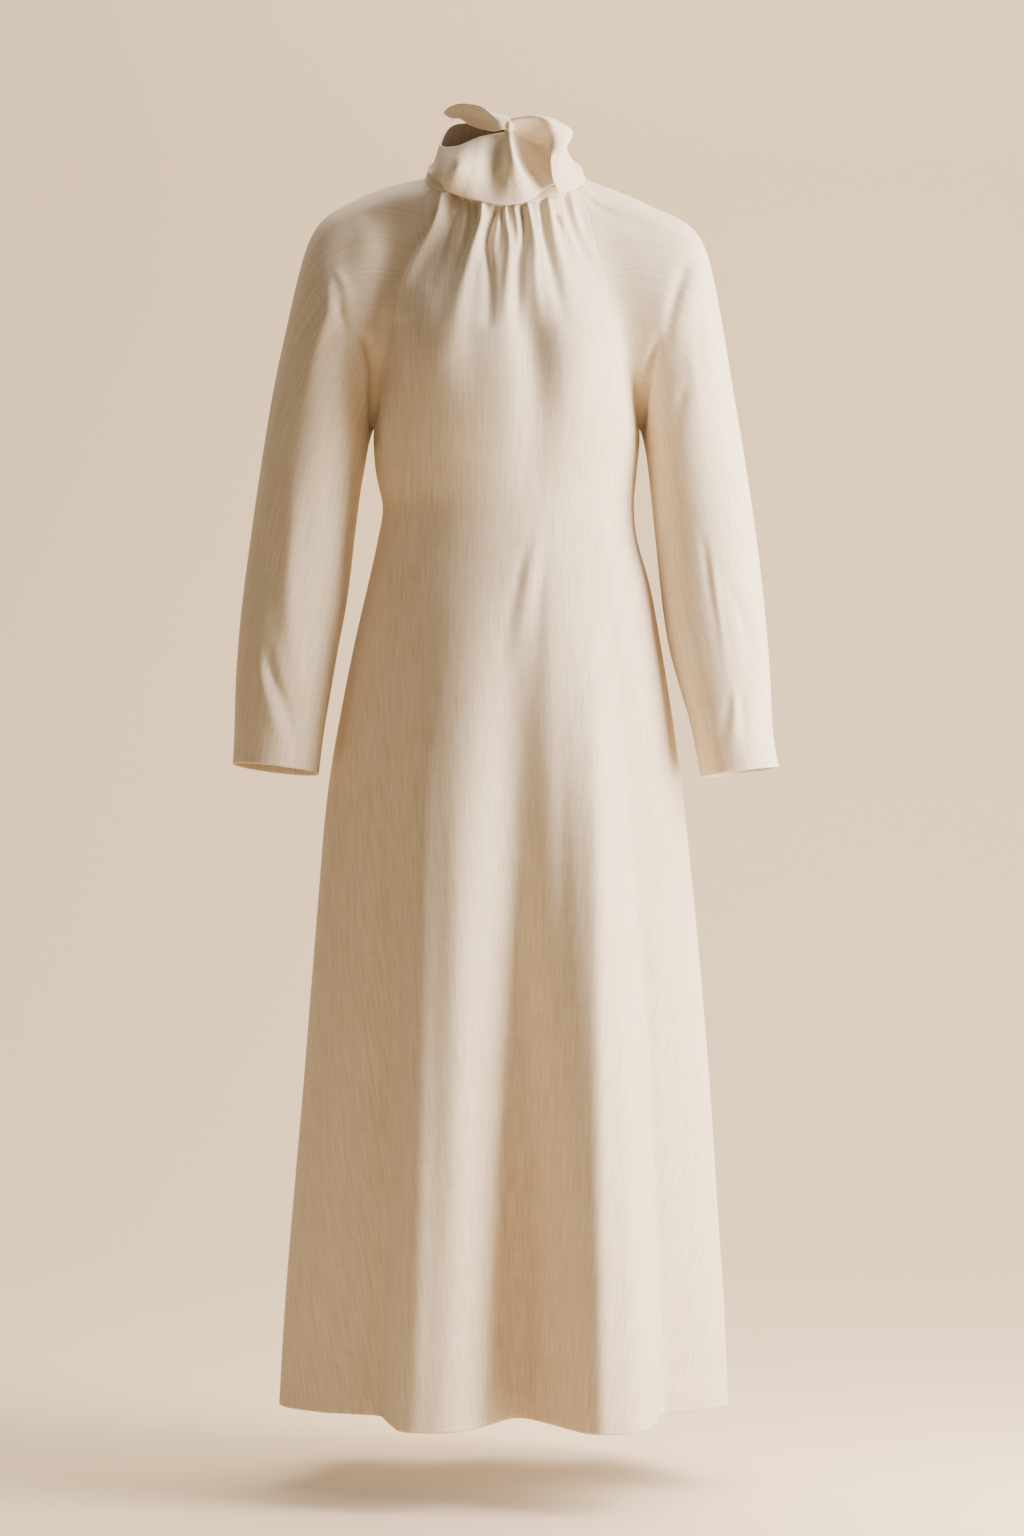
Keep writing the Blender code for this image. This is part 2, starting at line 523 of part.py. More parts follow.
def add_strip(name, sections, rows_along, rows_across, facing):
    """A curved strip of cloth through sections of three points each."""
    sections = np.array(sections)
    along = np.linspace(0, len(sections) - 1, rows_along)
    lines = through(sections.reshape(len(sections), 9), along).reshape(-1, 3, 3)
    rows = [[through(line, at) for at in np.linspace(0, 2, rows_across)] for line in lines]
    faces = sheet_faces(rows, False)
    points = np.array([p for row in rows for p in row])
    normals = vertex_normals(points, faces)
    if normals.mean(axis=0) @ np.array(facing) < 0:
        faces = flipped(faces)
        normals = -normals
    add_wall(name, points, -normals * CLOTH, faces, LINEN_DOUBLE)


def add_knot():
    """The small knot, with soft wraps of cloth round it."""
    form = bmesh.new()
    bmesh.ops.create_uvsphere(form, u_segments=16, v_segments=8, radius=1.0)
    points = np.array([vertex.co for vertex in form.verts])
    faces = [tuple(vertex.index for vertex in face.verts) for face in form.faces]
    form.free()
    wraps = 1 - KNOT_WRAP_HEIGHT * (1 + np.cos(2 * math.pi * KNOT_WRAPS * points[:, 0])) / 2
    points = points * wraps[:, None] * np.array(KNOT_RADII) + np.array(KNOT_PLACE)
    add_object("tie_knot", points, faces, LINEN_DOUBLE)


def clear_scene():
    for obj in list(bpy.data.objects):
        bpy.data.objects.remove(obj, do_unlink=True)


def main():
    clear_scene()
    add_panels()
    add_neckband()
    add_collar()
    add_strip("tie_loop_right", LOOP_SECTIONS, 17, 7, (0.5, -0.8, 0.3))
    add_strip("tie_end_left", END_SECTIONS, 13, 7, (0.0, -0.9, 0.4))
    add_knot()


main()
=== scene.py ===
"""Cloth, seams and finish of a long-sleeved maxi dress with a gathered, tied neck.

Lengths are in metres and angles in degrees, +Z is up and the front faces -Y. Body
angles run from 0 at centre front to 90 at the +X side and 180 at centre back. The
panels repeat the solids' own form in finer steps, and the folds are laid over it as
soft ridges and troughs.
"""

import math

import bpy
import numpy as np
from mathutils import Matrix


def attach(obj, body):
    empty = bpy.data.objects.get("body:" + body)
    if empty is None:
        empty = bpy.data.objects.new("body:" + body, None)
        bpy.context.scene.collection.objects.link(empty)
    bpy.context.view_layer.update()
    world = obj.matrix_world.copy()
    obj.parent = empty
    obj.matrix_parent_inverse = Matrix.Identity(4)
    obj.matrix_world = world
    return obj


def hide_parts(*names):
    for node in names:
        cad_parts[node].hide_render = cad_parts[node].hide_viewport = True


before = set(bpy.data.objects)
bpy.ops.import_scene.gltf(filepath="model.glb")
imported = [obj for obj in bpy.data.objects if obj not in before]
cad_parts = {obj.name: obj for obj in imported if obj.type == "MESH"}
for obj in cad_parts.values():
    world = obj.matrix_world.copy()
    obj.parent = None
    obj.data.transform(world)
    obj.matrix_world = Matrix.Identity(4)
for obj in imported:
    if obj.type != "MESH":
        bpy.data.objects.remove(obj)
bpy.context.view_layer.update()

MM = 0.001

# Cloth and seams
CLOTH = 0.7 * MM  # a firm dress linen
TURNED = 1.6 * MM  # the hem's wall, cloth and turning together
SEAM_PULL = 0.05 * MM  # each panel stops this far short of its seam line
SEAM_SINK = 0.08 * MM  # a pressed seam draws the panels' edges in
RIM_ROUND = 0.4  # how far a cut edge's middle stands out, as a share of the wall
TURNED_HEM = 10 * MM
HEM_STEP = 0.6 * MM  # the height over which the wall thickens into the hem
NECK_SEAM_Z = 0.0
DIP_POWER = 1.3  # how the neckline climbs from its lowest place at centre front
UNDERARM_Z = -0.2754
HEM_Z = -1.3208

# How finely the panels are laid out before they are subdivided
FRONT_COLUMNS = 54
BACK_COLUMNS = 28
NECK_ARC_COLUMNS = 8
SLEEVE_RINGS = 38
SUBDIVISIONS = 2

# Body sections: height at the side, half widths to -X and +X, depth in front and
# behind, how far the front dips and the back rises, and the angle of the seam.
BODY = {
    "z": (0.0, -0.03, -0.07, -0.12, -0.17, -0.22, -0.2754, -0.324, -0.351, -0.3888,
          -0.432, -0.4968, -0.5616, -0.648, -0.7776, -0.8856, -0.9936, -1.1016, -1.2096, -1.3208),
    "left": (0.087, 0.094, 0.108, 0.127, 0.139, 0.143, 0.1436, 0.1395, 0.133, 0.1385,
             0.148, 0.1631, 0.176, 0.1912, 0.203, 0.2117, 0.2203, 0.23, 0.2387, 0.2452),
    "right": (0.085, 0.093, 0.108, 0.127, 0.139, 0.1435, 0.145, 0.1404, 0.1382, 0.1415,
              0.1544, 0.1663, 0.1771, 0.189, 0.203, 0.2128, 0.2214, 0.2279, 0.2354, 0.24),
    "front": (0.075, 0.086, 0.1, 0.113, 0.122, 0.127, 0.123, 0.111, 0.106, 0.106,
              0.108, 0.112, 0.114, 0.115, 0.114, 0.112, 0.109, 0.106, 0.103, 0.1),
    "back": (0.066, 0.08, 0.096, 0.108, 0.113, 0.111, 0.107, 0.099, 0.096, 0.099,
             0.108, 0.122, 0.13, 0.133, 0.134, 0.135, 0.136, 0.138, 0.14, 0.142),
    "dip": (0.0385, 0.037, 0.031, 0.022, 0.012, 0.005) + 14 * (0.0,),
    "rise": (0.02, 0.018, 0.014, 0.009, 0.004, 0.001) + 14 * (0.0,),
    "seam": (62.0, 59.5, 58.0, 59.5, 64.0, 73.0) + 14 * (90.0,),
}
YOKE_LEVELS = (0.0, -0.012, -0.03, -0.052, -0.078, -0.107, -0.137, -0.167, -0.2, -0.237, UNDERARM_Z)
SKIRT_LEVELS = (-0.305, -0.332, -0.356, -0.385, -0.422, -0.47, -0.53, -0.6, -0.68, -0.77,
                -0.865, -0.965, -1.07, -1.175, -1.25)

# Skirt flutes: angle of the crest, spread to its lower-angle and higher-angle
# side, how far it stands out at the hem, and the height where it begins.
FLUTES = (
    (-16.5, 18.0, 20.0, 0.106, -0.42),
    (22.5, 19.0, 22.0, 0.118, -0.42),
    (148.0, 24.0, 21.0, 0.055, -0.5),
    (-179.0, 17.0, 17.0, 0.034, -0.6),
    (-145.0, 22.0, 26.0, 0.058, -0.48),
)
FLUTE_CREST = 1.4  # above 1 the crest is broader than the valley
FLUTE_GROWTH = 1.25  # above 1 a flute grows faster towards the hem

# Sleeve sections from the neck to the cuff: outer and inner edge, middle of the
# depth, the half depth, and how much the section rises towards its front.
SLEEVE_LEFT = {
    "outer_x": (-0.087, -0.1188, -0.1652, -0.1998, -0.2187, -0.2376, -0.2519, -0.2646, -0.2765,
                -0.2855, -0.2905, -0.2915, -0.293),
    "outer_z": (0.0, -0.0043, -0.0238, -0.0448, -0.0821, -0.162, -0.23, -0.31, -0.395,
                -0.47, -0.54, -0.595, -0.6307),
    "inner_x": (-0.1436, -0.1438, -0.1443, -0.1455, -0.148, -0.1515, -0.157, -0.1631, -0.1706,
                -0.18, -0.188, -0.1955, -0.2003),
    "inner_z": (-0.2754, -0.2762, -0.278, -0.281, -0.288, -0.307, -0.339, -0.3888, -0.4536,
                -0.505, -0.5535, -0.6, -0.6415),
    "middle_y": (0.0, 0.0, 0.0, 0.001, 0.002, 0.002, 0.001, -0.002, -0.007, -0.013, -0.02, -0.027, -0.031),
    "depth": (0.06, 0.06, 0.063, 0.066, 0.068, 0.069, 0.068, 0.065, 0.062, 0.058, 0.053, 0.05, 0.048),
    "rise": 7 * (0.0,) + (0.01, 0.02, 0.04, 0.06, 0.08, 0.09),
}
SLEEVE_RIGHT = {
    "outer_x": (0.085, 0.1166, 0.16, 0.1976, 0.2182, 0.234, 0.2458, 0.259, 0.271,
                0.279, 0.2842, 0.2862, 0.2925),
    "outer_z": (0.0, -0.0108, -0.031, -0.0486, -0.081, -0.158, -0.23, -0.31, -0.395,
                -0.47, -0.54, -0.595, -0.634),
    "inner_x": (0.145, 0.1452, 0.1458, 0.147, 0.1492, 0.1525, 0.156, 0.161, 0.1675,
                0.175, 0.187, 0.1985, 0.2084),
    "inner_z": (-0.2754, -0.2762, -0.278, -0.281, -0.288, -0.307, -0.339, -0.3888, -0.4536,
                -0.505, -0.55, -0.59, -0.6448),
    "middle_y": SLEEVE_LEFT["middle_y"],
    "depth": SLEEVE_LEFT["depth"],
    "rise": 7 * (0.0,) + (0.01, 0.02, 0.03, 0.04, 0.05, 0.05),
}
LOOP_FADE = 5.5  # sections over which the neck-to-underarm seam turns into an oval
SEAM_EASE = 0.035  # how far from the raglan seam the shoulder is smoothed
SEAM_EASE_STEPS = 40
SEAM_EASE_PULL = 0.5  # how far one step moves a point towards the middle of its neighbours
CUFF_ROOM = 1.8  # the even rings end this many hems above the cuff
UNDERARM_KEPT = 0.05  # the smoothing fades out over this height above the underarm

# Folds. Each is the fold's half width at its first and last place, how far it stands
# out, or below 0 sinks, and its line of (x, z) places, all in millimetres.
NECK_GATHERS = (
    ((4, 14), 16.0, (-59.7, -25.2), (-68.5, -56), (-89, -92), (-104, -130), (-110, -162)),
    ((3.5, 7), 1.6, (-52.2, -28.2), (-60, -62), (-66, -90), (-75, -124)),
    ((3, 8), 1.8, (-39.4, -32.3), (-46, -70), (-53, -100)),
    ((4, 19), 8.0, (-24.0, -36.3), (-26.2, -60), (-36, -92), (-44, -124), (-49, -156), (-51, -205)),
    ((3, 4), 1.7, (-8.3, -56), (-13.2, -80)),
    ((3.5, 8), 3.6, (-0.3, -40.5), (3.7, -76), (2.9, -100), (1.2, -124), (-0.3, -165)),
    ((3, 4), 2.3, (9.2, -39.3), (13.3, -68), (15.7, -84)),
    ((3.5, 9), 3.6, (22.7, -36.5), (30.2, -76), (31.1, -108), (33.5, -140), (36.6, -175)),
    ((4, 11), 3.9, (44.0, -30.6), (52.7, -76), (60.8, -108), (65.7, -145)),
    ((3, 6), 2.0, (59.2, -48), (62.4, -60), (70.5, -76), (77, -100)),
    ((3, 12), 2.9, (67.8, -20.7), (77, -60), (93, -92), (109, -124)),
    ((5, 16), -4.2, (-69.5, -38), (-79.1, -60), (-95, -92), (-110, -118)),
    ((2.5, 3), -2.1, (-59, -44), (-59, -56)),
    ((3, 9), -3.4, (-54.2, -45), (-61.4, -68), (-69.5, -100), (-77.6, -132)),
    ((2.5, 3), -2.0, (-47.0, -29.9), (-50.2, -54)),
    ((3.5, 8), -3.9, (-38.3, -32.6), (-40.6, -60), (-44.6, -87), (-51.8, -118)),
    ((2.5, 3.5), -3.1, (-31.2, -34.6), (-30.1, -62)),
    ((4, 9), -7.0, (-9.8, -39.2), (-17.3, -60), (-20.7, -82), (-17.2, -118), (-18, -175)),
    ((2.5, 4), -2.3, (-3.9, -40.1), (-6, -76), (-8, -92)),
    ((2.5, 3), -3.1, (2.1, -40.3), (2.9, -56), (4.5, -70)),
    ((3.5, 10), -6.5, (17.1, -37.8), (19.6, -68), (15.2, -100), (13, -140), (15, -180)),
    ((3.5, 10), -5.2, (37.7, -32.5), (41.5, -68), (47.9, -100), (54.4, -132), (60.8, -168)),
    ((2.5, 3), -2.6, (52.7, -45), (57.6, -60)),
    ((3, 8), -3.1, (62.3, -23.5), (72.1, -60), (83.3, -84), (91.4, -105)),
)
BODICE_FOLDS = (
    ((20, 30), -15.0, (14, -110), (27, -170), (33, -225), (34, -285), (26, -360)),
    ((16, 20), -2.0, (-52, -150), (-40, -200), (-34, -260)),
    ((9, 10), 2.5, (-108, -206), (-119, -235), (-125, -266), (-127, -297)),
    ((7, 12), 2.2, (38, -370), (26, -430), (14, -499), (8, -545)),
    ((7, 13), -2.4, (45, -400), (37, -450), (33, -500), (30, -570)),
    ((5, 10), -1.8, (23, -388), (11, -448), (1, -497), (-4, -545)),
)
SKIRT_FOLDS = (
    ((16, 17), 5.5, (-84, -440), (-88, -540), (-91, -700), (-93, -900), (-94, -1100), (-97, -1230),
     (-104, -1330)),
    ((16, 20), -4.0, (-108, -460), (-113, -560), (-119, -720), (-122, -900), (-124, -1100),
     (-128, -1330)),
    ((15, 17), 5.5, (90, -460), (93, -560), (95, -700), (96, -900), (97, -1100), (97, -1330)),
    ((16, 24), -4.5, (62, -470), (60, -600), (58, -800), (56, -1000), (55, -1330)),
    ((18, 24), -3.0, (10, -620), (9, -800), (12, -1000), (14, -1330)),
    ((18, 22), 1.6, (-55, -560), (-52, -760), (-50, -980), (-48, -1330)),
    ((12, 17), 2.0, (150, -700), (160, -900), (168, -1100), (176, -1330)),
    ((12, 16), 2.0, (-170, -760), (-178, -960), (-186, -1150), (-192, -1330)),
)
SLEEVE_FOLDS = (
    ((7, 15), 4.5, (-184, -95), (-188, -124), (-188, -149), (-197, -176), (-207, -208), (-213, -250)),
    ((6, 7), 3.0, (-184, -98), (-171, -124), (-163, -153)),
    ((4.5, 8), -4.0, (-179, -130), (-175, -153), (-171, -167), (-170, -190)),
    ((14, 11), 3.0, (-222, -300), (-226, -370), (-230, -433), (-228, -496), (-215, -560), (-211, -610)),
    ((13, 13), -3.0, (-264, -370), (-252, -440), (-247, -500)),
    ((7, 9), -4.2, (-258, -490), (-247, -539), (-234, -570), (-226, -602), (-225, -628)),
    ((6, 13), 3.4, (-264, -505), (-260, -539), (-251, -570), (-241, -600), (-238, -628)),
    ((9, 8), -5.0, (191, -86), (189, -107), (182, -128), (174, -162), (170, -195)),
    ((10, 12), 3.0, (207, -80), (203, -115), (194, -155)),
    ((6, 8), -1.8, (209, -140), (204, -195)),
    ((7, 12), -2.6, (191, -220), (185, -250), (178, -290)),
    ((7, 10), 2.0, (194, -185), (203, -225), (208, -270)),
    ((5, 7), -2.4, (207, -375), (212, -408), (219, -454), (228, -512)),
    ((4.5, 6), 2.2, (216, -395), (224, -455), (233, -515), (239, -550)),
    ((6, 9), -2.6, (232, -430), (250, -471), (263, -518), (262, -540)),
    ((6, 8), -3.0, (250, -548), (253, -581), (255, -618)),
    ((7, 10), -2.6, (241, -556), (234, -581), (227, -622)),
    ((5, 6), 2.0, (243, -545), (243, -575), (241, -608)),
)
ARMPIT_FOLDS = (
    ((8, 5), -7.5, (-164, -159), (-153, -176), (-146, -186), (-141, -208), (-141, -229), (-142, -285)),
    ((7, 5), -7.5, (165, -165), (157, -198), (150, -221), (146, -250), (145, -285)),
)
SHOULDER_GATHERS = (
    ((3, 8), 2.2, (80, -10), (90, -20), (103, -31), (128, -44)),
    ((5, 13), -2.4, (90, -26), (111, -39), (135, -50), (160, -62)),
)
# The same for the back, seen from the front as well: x is not mirrored.
BACK_GATHERS = (
    ((3.5, 9), 2.6, (-48, 14), (-53, -10), (-60, -44), (-66, -80)),
    ((3.5, 10), -3.0, (-39, 16), (-42, -12), (-47, -50), (-50, -96), (-52, -130)),
    ((3, 8), 2.4, (-29, 17), (-31, -14), (-35, -60)),
    ((3.5, 9), -2.8, (-20, 18), (-21, -20), (-24, -70), (-27, -118)),
    ((3, 8), 2.6, (-11, 18), (-12, -24), (-14, -84)),
    ((3, 7), -2.4, (8, 18), (10, -16), (12, -52)),
    ((3.5, 10), 3.0, (15, 18), (17, -26), (21, -78), (24, -125)),
    ((3, 8), -2.6, (26, 17), (29, -18), (33, -58)),
    ((3.5, 10), 2.4, (36, 16), (40, -16), (46, -64), (50, -104)),
    ((3.5, 8), -2.8, (47, 14), (52, -8), (59, -36), (66, -70)),
)
BACK_FOLDS = (
    ((8, 14), 2.4, (-62, -300), (-48, -356), (-40, -420), (-38, -500)),
    ((7, 12), -2.6, (-30, -318), (-24, -372), (-22, -450)),
    ((8, 14), 2.2, (44, -306), (38, -366), (36, -440), (38, -520)),
    ((8, 12), -2.2, (70, -290), (62, -350), (58, -410)),
    ((9, 14), 2.6, (-206, -150), (-214, -196), (-218, -250)),
    ((8, 12), -2.8, (-186, -190), (-190, -240), (-196, -300)),
    ((9, 13), -2.4, (-240, -400), (-232, -450), (-226, -520)),
    ((8, 12), 2.8, (-262, -470), (-250, -530), (-240, -600)),
    ((9, 14), 2.4, (200, -140), (208, -200), (212, -262)),
    ((8, 12), -2.8, (182, -196), (188, -250), (196, -312)),
    ((9, 13), 2.2, (236, -380), (228, -440), (226, -506)),
    ((8, 12), -2.6, (256, -450), (246, -520), (242, -600)),
)
BACK_SKIRT_FOLDS = (
    ((16, 22), -3.4, (-88, -620), (-104, -900), (-116, -1150), (-122, -1330)),
    ((15, 22), -3.2, (52, -640), (58, -900), (62, -1120), (64, -1330)),
    ((14, 18), 3.0, (108, -560), (118, -800), (124, -1060), (126, -1330)),
)
FRONT_FOLDS = {
    "gather": NECK_GATHERS + SHOULDER_GATHERS,
    "soft": BODICE_FOLDS + SLEEVE_FOLDS,
    "even": SKIRT_FOLDS + ARMPIT_FOLDS,
}
BEHIND_FOLDS = {"gather": BACK_GATHERS, "soft": BACK_FOLDS, "even": BACK_SKIRT_FOLDS}
# Broad soft forms: half sizes, height and middle (x, z), in millimetres.
FRONT_FORMS = (
    ((38, 60), 11.0, (-76, -185)),
    ((22, 40), 4.0, (-94, -130)),
    ((38, 62), 10.0, (78, -208)),
    ((17, 24), 4.0, (-148, -80)),
    ((15, 32), -3.5, (-122, -108)),
    ((22, 14), 2.4, (-114, -24)),
    ((10, 9), -1.8, (-144, -44)),
)
FOLD_FADE = {"gather": 0.55, "soft": 0.8, "even": 0.0}  # the power of the fade to its last place
SOFT_GROWTH = 0.35  # a soft or even fold grows over this share of its length
GATHER_START = 0.6  # the share of its height that a gather has at the seam
GATHER_ROOM = 7 * MM  # a gather would grow from nothing over this length
FOLD_POINTS = 25
FOLD_REACH = 3  # a fold ends this many half widths from its line
FOLD_FALL = 1.6  # how fast a fold falls away from its line
FACING = (0.05, 0.45)  # cloth takes the folds as it turns to face the front or the back
COLLAR_FACING = (0.0, 0.3)  # the same for the collar


def srgb(code):
    """A colour code such as c8b79f as linear red, green, blue and alpha."""
    parts = [int(code[i:i + 2], 16) / 255 for i in (0, 2, 4)]
    linear = [part / 12.92 if part <= 0.04045 else ((part + 0.055) / 1.055) ** 2.4 for part in parts]
    return (*linear, 1.0)


def unit(vector):
    return vector / np.linalg.norm(vector)


def through(values, at, knots=None):
    """The smooth curve through values at their knots, or at 0, 1, 2 and so on."""
    values = np.asarray(values, float)
    knots = np.arange(len(values)) if knots is None else np.asarray(knots, float)
    at = np.clip(np.asarray(at, float), knots[0], knots[-1])
    start = np.clip(np.searchsorted(knots, at, side="right") - 1, 0, len(values) - 2)
    step = knots[start + 1] - knots[start]
    part = (at - knots[start]) / step
    if values.ndim > 1:
        part, step = part[..., None], np.asarray(step)[..., None]
    slopes = np.gradient(values, knots, axis=0)
    rise = values[start + 1] - values[start]
    bend = slopes[start] * step - rise
    end_bend = rise - slopes[start + 1] * step
    curve = values[start] + part * rise
    return curve + part * (1 - part) * (bend * (1 - part) + end_bend * part)


def body_at(name, z):
    """One column of the body table at height z."""
    return through(BODY[name], -z, -np.array(BODY["z"]))


def seam_angle(z):
    """The body angle of the panels' side edge: the raglan seam, then the side seam."""
    return min(float(body_at("seam", z)), 90.0)


def flute_height(angle, z):
    """How far the skirt's flutes stand out at a body angle and height."""
    total = 0.0
    for crest, below, above, out, top in FLUTES:
        away = (angle - crest + 180.0) % 360.0 - 180.0
        spread = above if away > 0 else below
        if abs(away) < spread and z < top:
            grown = (top - z) / (top - HEM_Z)
            across = (abs(away) / spread) ** FLUTE_CREST
            total += out * grown**FLUTE_GROWTH * 0.5 * (1 + math.cos(math.pi * across))
    return total


def body_point(angle, z):
    """A point of the body's surface at a body angle and side height."""
    turn = math.radians(angle)
    half = body_at("right" if math.sin(turn) >= 0 else "left", z)
    depth = body_at("front" if math.cos(turn) >= 0 else "back", z)
    outward = unit(np.array([math.sin(turn) / half, -math.cos(turn) / depth]))
    flat = np.array([half * math.sin(turn), -depth * math.cos(turn)]) + outward * flute_height(angle, z)
    from_front = abs((angle + 180.0) % 360.0 - 180.0)
    if from_front < 90.0:
        level = z - body_at("dip", z) * (1 - (from_front / 90.0) ** DIP_POWER)
    else:
        level = z + body_at("rise", z) * (1 - ((180.0 - from_front) / 90.0) ** 2)
    return np.array([flat[0], flat[1], level])


def halved(values):
    """The values with one more half way between each two."""
    return list(through(values, np.arange(0, len(values) - 0.75, 0.5)))


def yoke_levels():
    return halved(YOKE_LEVELS)


def levels():
    hem = [HEM_Z + TURNED_HEM + HEM_STEP, HEM_Z + TURNED_HEM, HEM_Z]
    lower = halved((UNDERARM_Z, *SKIRT_LEVELS, HEM_Z + 3 * TURNED_HEM))
    return yoke_levels() + lower[1:] + hem


def front_rows():
    """The front panel's rows of points, from the neck to the hem."""
    rows = []
    for z in levels():
        edge = seam_angle(z)
        rows.append([body_point(edge * (2 * i / FRONT_COLUMNS - 1), z) for i in range(FRONT_COLUMNS + 1)])
    return rows


def back_rows(side):
    """One back panel's rows, from its side seam to the centre-back seam."""
    rows = []
    for z in levels():
        edge = 180.0 - seam_angle(z)
        angles = [edge + (180.0 - edge) * i / BACK_COLUMNS for i in range(BACK_COLUMNS + 1)]
        rows.append([body_point(side * angle, z) for angle in angles])
    return rows


def sleeve_rows(table, side):
    """A sleeve's rings, from the raglan seam and the neck to the cuff."""
    front = [body_point(side * seam_angle(z), z) for z in reversed(yoke_levels())]
    back = [body_point(side * (180.0 - seam_angle(z)), z) for z in yoke_levels()]
    edge = seam_angle(NECK_SEAM_Z)
    steps = range(1, NECK_ARC_COLUMNS)
    neck = [body_point(side * (edge + (180 - 2 * edge) * i / NECK_ARC_COLUMNS), 0.0) for i in steps]
    loop = np.array(front + neck + back[:-1])
    step_lengths = np.linalg.norm(np.diff(np.vstack([loop, loop[:1]]), axis=0), axis=1)
    turn = 2 * math.pi * np.concatenate([[0], np.cumsum(step_lengths)[:-1]]) / step_lengths.sum()

    def oval(section):
        outer = np.array([through(table["outer_x"], section), 0.0, through(table["outer_z"], section)])
        inner = np.array([through(table["inner_x"], section), 0.0, through(table["inner_z"], section)])
        ring = (outer + inner) / 2 + np.cos(turn)[:, None] * (inner - outer) / 2
        forward = through(table["depth"], section) * np.sin(turn)
        ring[:, 1] = through(table["middle_y"], section) - forward
        ring[:, 2] += through(table["rise"], section) * forward
        return ring

    last = len(table["depth"]) - 1
    last_length = abs(table["inner_z"][-1] - table["inner_z"][-2])
    hem = TURNED_HEM / last_length
    step = HEM_STEP / last_length
    sections = list(np.linspace(0, last - hem * CUFF_ROOM, SLEEVE_RINGS - 2))
    rows = []
    for section in sections + [last - hem - step, last - hem, last]:
        left_over = max(0.0, 1 - section / LOOP_FADE)
        keep = left_over * left_over * (3 - 2 * left_over)
        rows.append(list(oval(section) + keep * (loop - oval(0.0))))
    return rows


def sheet_faces(rows, closed):
    """Faces of a grid of points, as point numbers."""
    wide = len(rows[0])
    steps = np.arange(wide if closed else wide - 1)
    ahead = (steps + 1) % wide
    starts = np.arange(len(rows) - 1)[:, None] * wide
    corners = [starts + steps, starts + wide + steps, starts + wide + ahead, starts + ahead]
    return np.stack(corners, axis=-1).reshape(-1, 4)


def sheet_grain(rows, closed, middle):
    """Where each face corner lies in the flat cloth: across from the middle, and down."""
    grid = np.array(rows)
    if closed:
        grid = np.concatenate([grid, grid[:, :1]], axis=1)
    across = np.cumsum(np.linalg.norm(np.diff(grid, axis=1, prepend=grid[:, :1]), axis=2), axis=1)
    across -= across[:, middle:middle + 1]
    down = np.cumsum(np.linalg.norm(np.diff(grid, axis=0, prepend=grid[:1]), axis=2), axis=0)
    down = np.broadcast_to(down[:, middle:middle + 1], across.shape)
    flat = np.stack([across, down], axis=-1)
    corners = [flat[:-1, :-1], flat[1:, :-1], flat[1:, 1:], flat[:-1, 1:]]
    return np.stack(corners, axis=2).reshape(-1, 4, 2)


def rim_corners(faces):
    """The corners at which the edges that only one face uses begin, and where they end."""
    edges = np.stack([faces, np.roll(faces, -1, axis=1)], axis=-1).reshape(-1, 2)
    _, first, count = np.unique(np.sort(edges, axis=1), axis=0, return_index=True, return_counts=True)
    begin = first[count == 1]
    return begin, begin - begin % 4 + (begin + 1) % 4


def vertex_normals(points, faces):
    corners = points[faces]
    facing = np.cross(corners[:, 2] - corners[:, 0], corners[:, 3] - corners[:, 1])
    normals = np.zeros_like(points)
    for corner in faces.T:
        for axis in range(3):
            normals[:, axis] += np.bincount(corner, facing[:, axis], len(points))
    return normals / np.linalg.norm(normals, axis=1)[:, None]


def placed(name, data):
    """An object of some data, put into the scene."""
    obj = bpy.data.objects.new(name, data)
    bpy.context.scene.collection.objects.link(obj)
    return obj


def mesh_of(name, points, faces, material=None):
    mesh = bpy.data.meshes.new(name)
    mesh.from_pydata(points, [], faces)
    if material:
        mesh.materials.append(material)
    mesh.shade_smooth()
    return mesh


def add_cloth(name, points, faces, grain, material=None):
    """A mesh object whose face corners carry their place in the flat cloth."""
    mesh = mesh_of(name, points.tolist(), faces.tolist(), material)
    mesh.uv_layers.new(name="grain").data.foreach_set("uv", grain.reshape(-1))
    return placed(name, mesh)


def subdivided(points, faces, grain, panel, times):
    """The sheet after smooth subdivision, with each new face's panel number."""
    obj = add_cloth("sheet", points, faces, grain)
    obj.data.polygons.foreach_set("material_index", panel)
    smooth = obj.modifiers.new("smooth", "SUBSURF")
    smooth.levels = smooth.render_levels = times
    finer = obj.evaluated_get(bpy.context.evaluated_depsgraph_get()).to_mesh()
    points = np.empty(len(finer.vertices) * 3)
    faces = np.empty(len(finer.loops), dtype=int)
    grain = np.empty(len(finer.loops) * 2)
    panel = np.empty(len(finer.polygons), dtype=int)
    finer.vertices.foreach_get("co", points)
    finer.loops.foreach_get("vertex_index", faces)
    finer.uv_layers["grain"].data.foreach_get("uv", grain)
    finer.polygons.foreach_get("material_index", panel)
    bpy.data.objects.remove(obj, do_unlink=True)
    return points.reshape(-1, 3), faces.reshape(-1, 4), grain.reshape(-1, 4, 2), panel


def rim_ways(points, faces):
    """For each point on the rim, the way straight out of the cloth's edge; 0 elsewhere."""
    a, b = (faces.reshape(-1)[corners] for corners in rim_corners(faces))
    along = np.zeros_like(points)
    np.add.at(along, a, points[b] - points[a])
    np.add.at(along, b, points[b] - points[a])
    ways = np.zeros_like(points)
    centres = points[faces].mean(axis=1)
    for corner in faces.T:
        np.add.at(ways, corner, points[corner] - centres)
    length = np.linalg.norm(along, axis=1)
    on_rim = length > 0
    along[on_rim] /= length[on_rim, None]
    ways -= along * (ways * along).sum(axis=1)[:, None]
    ways[~on_rim] = 0.0
    ways[on_rim] /= np.linalg.norm(ways[on_rim], axis=1)[:, None]
    return ways


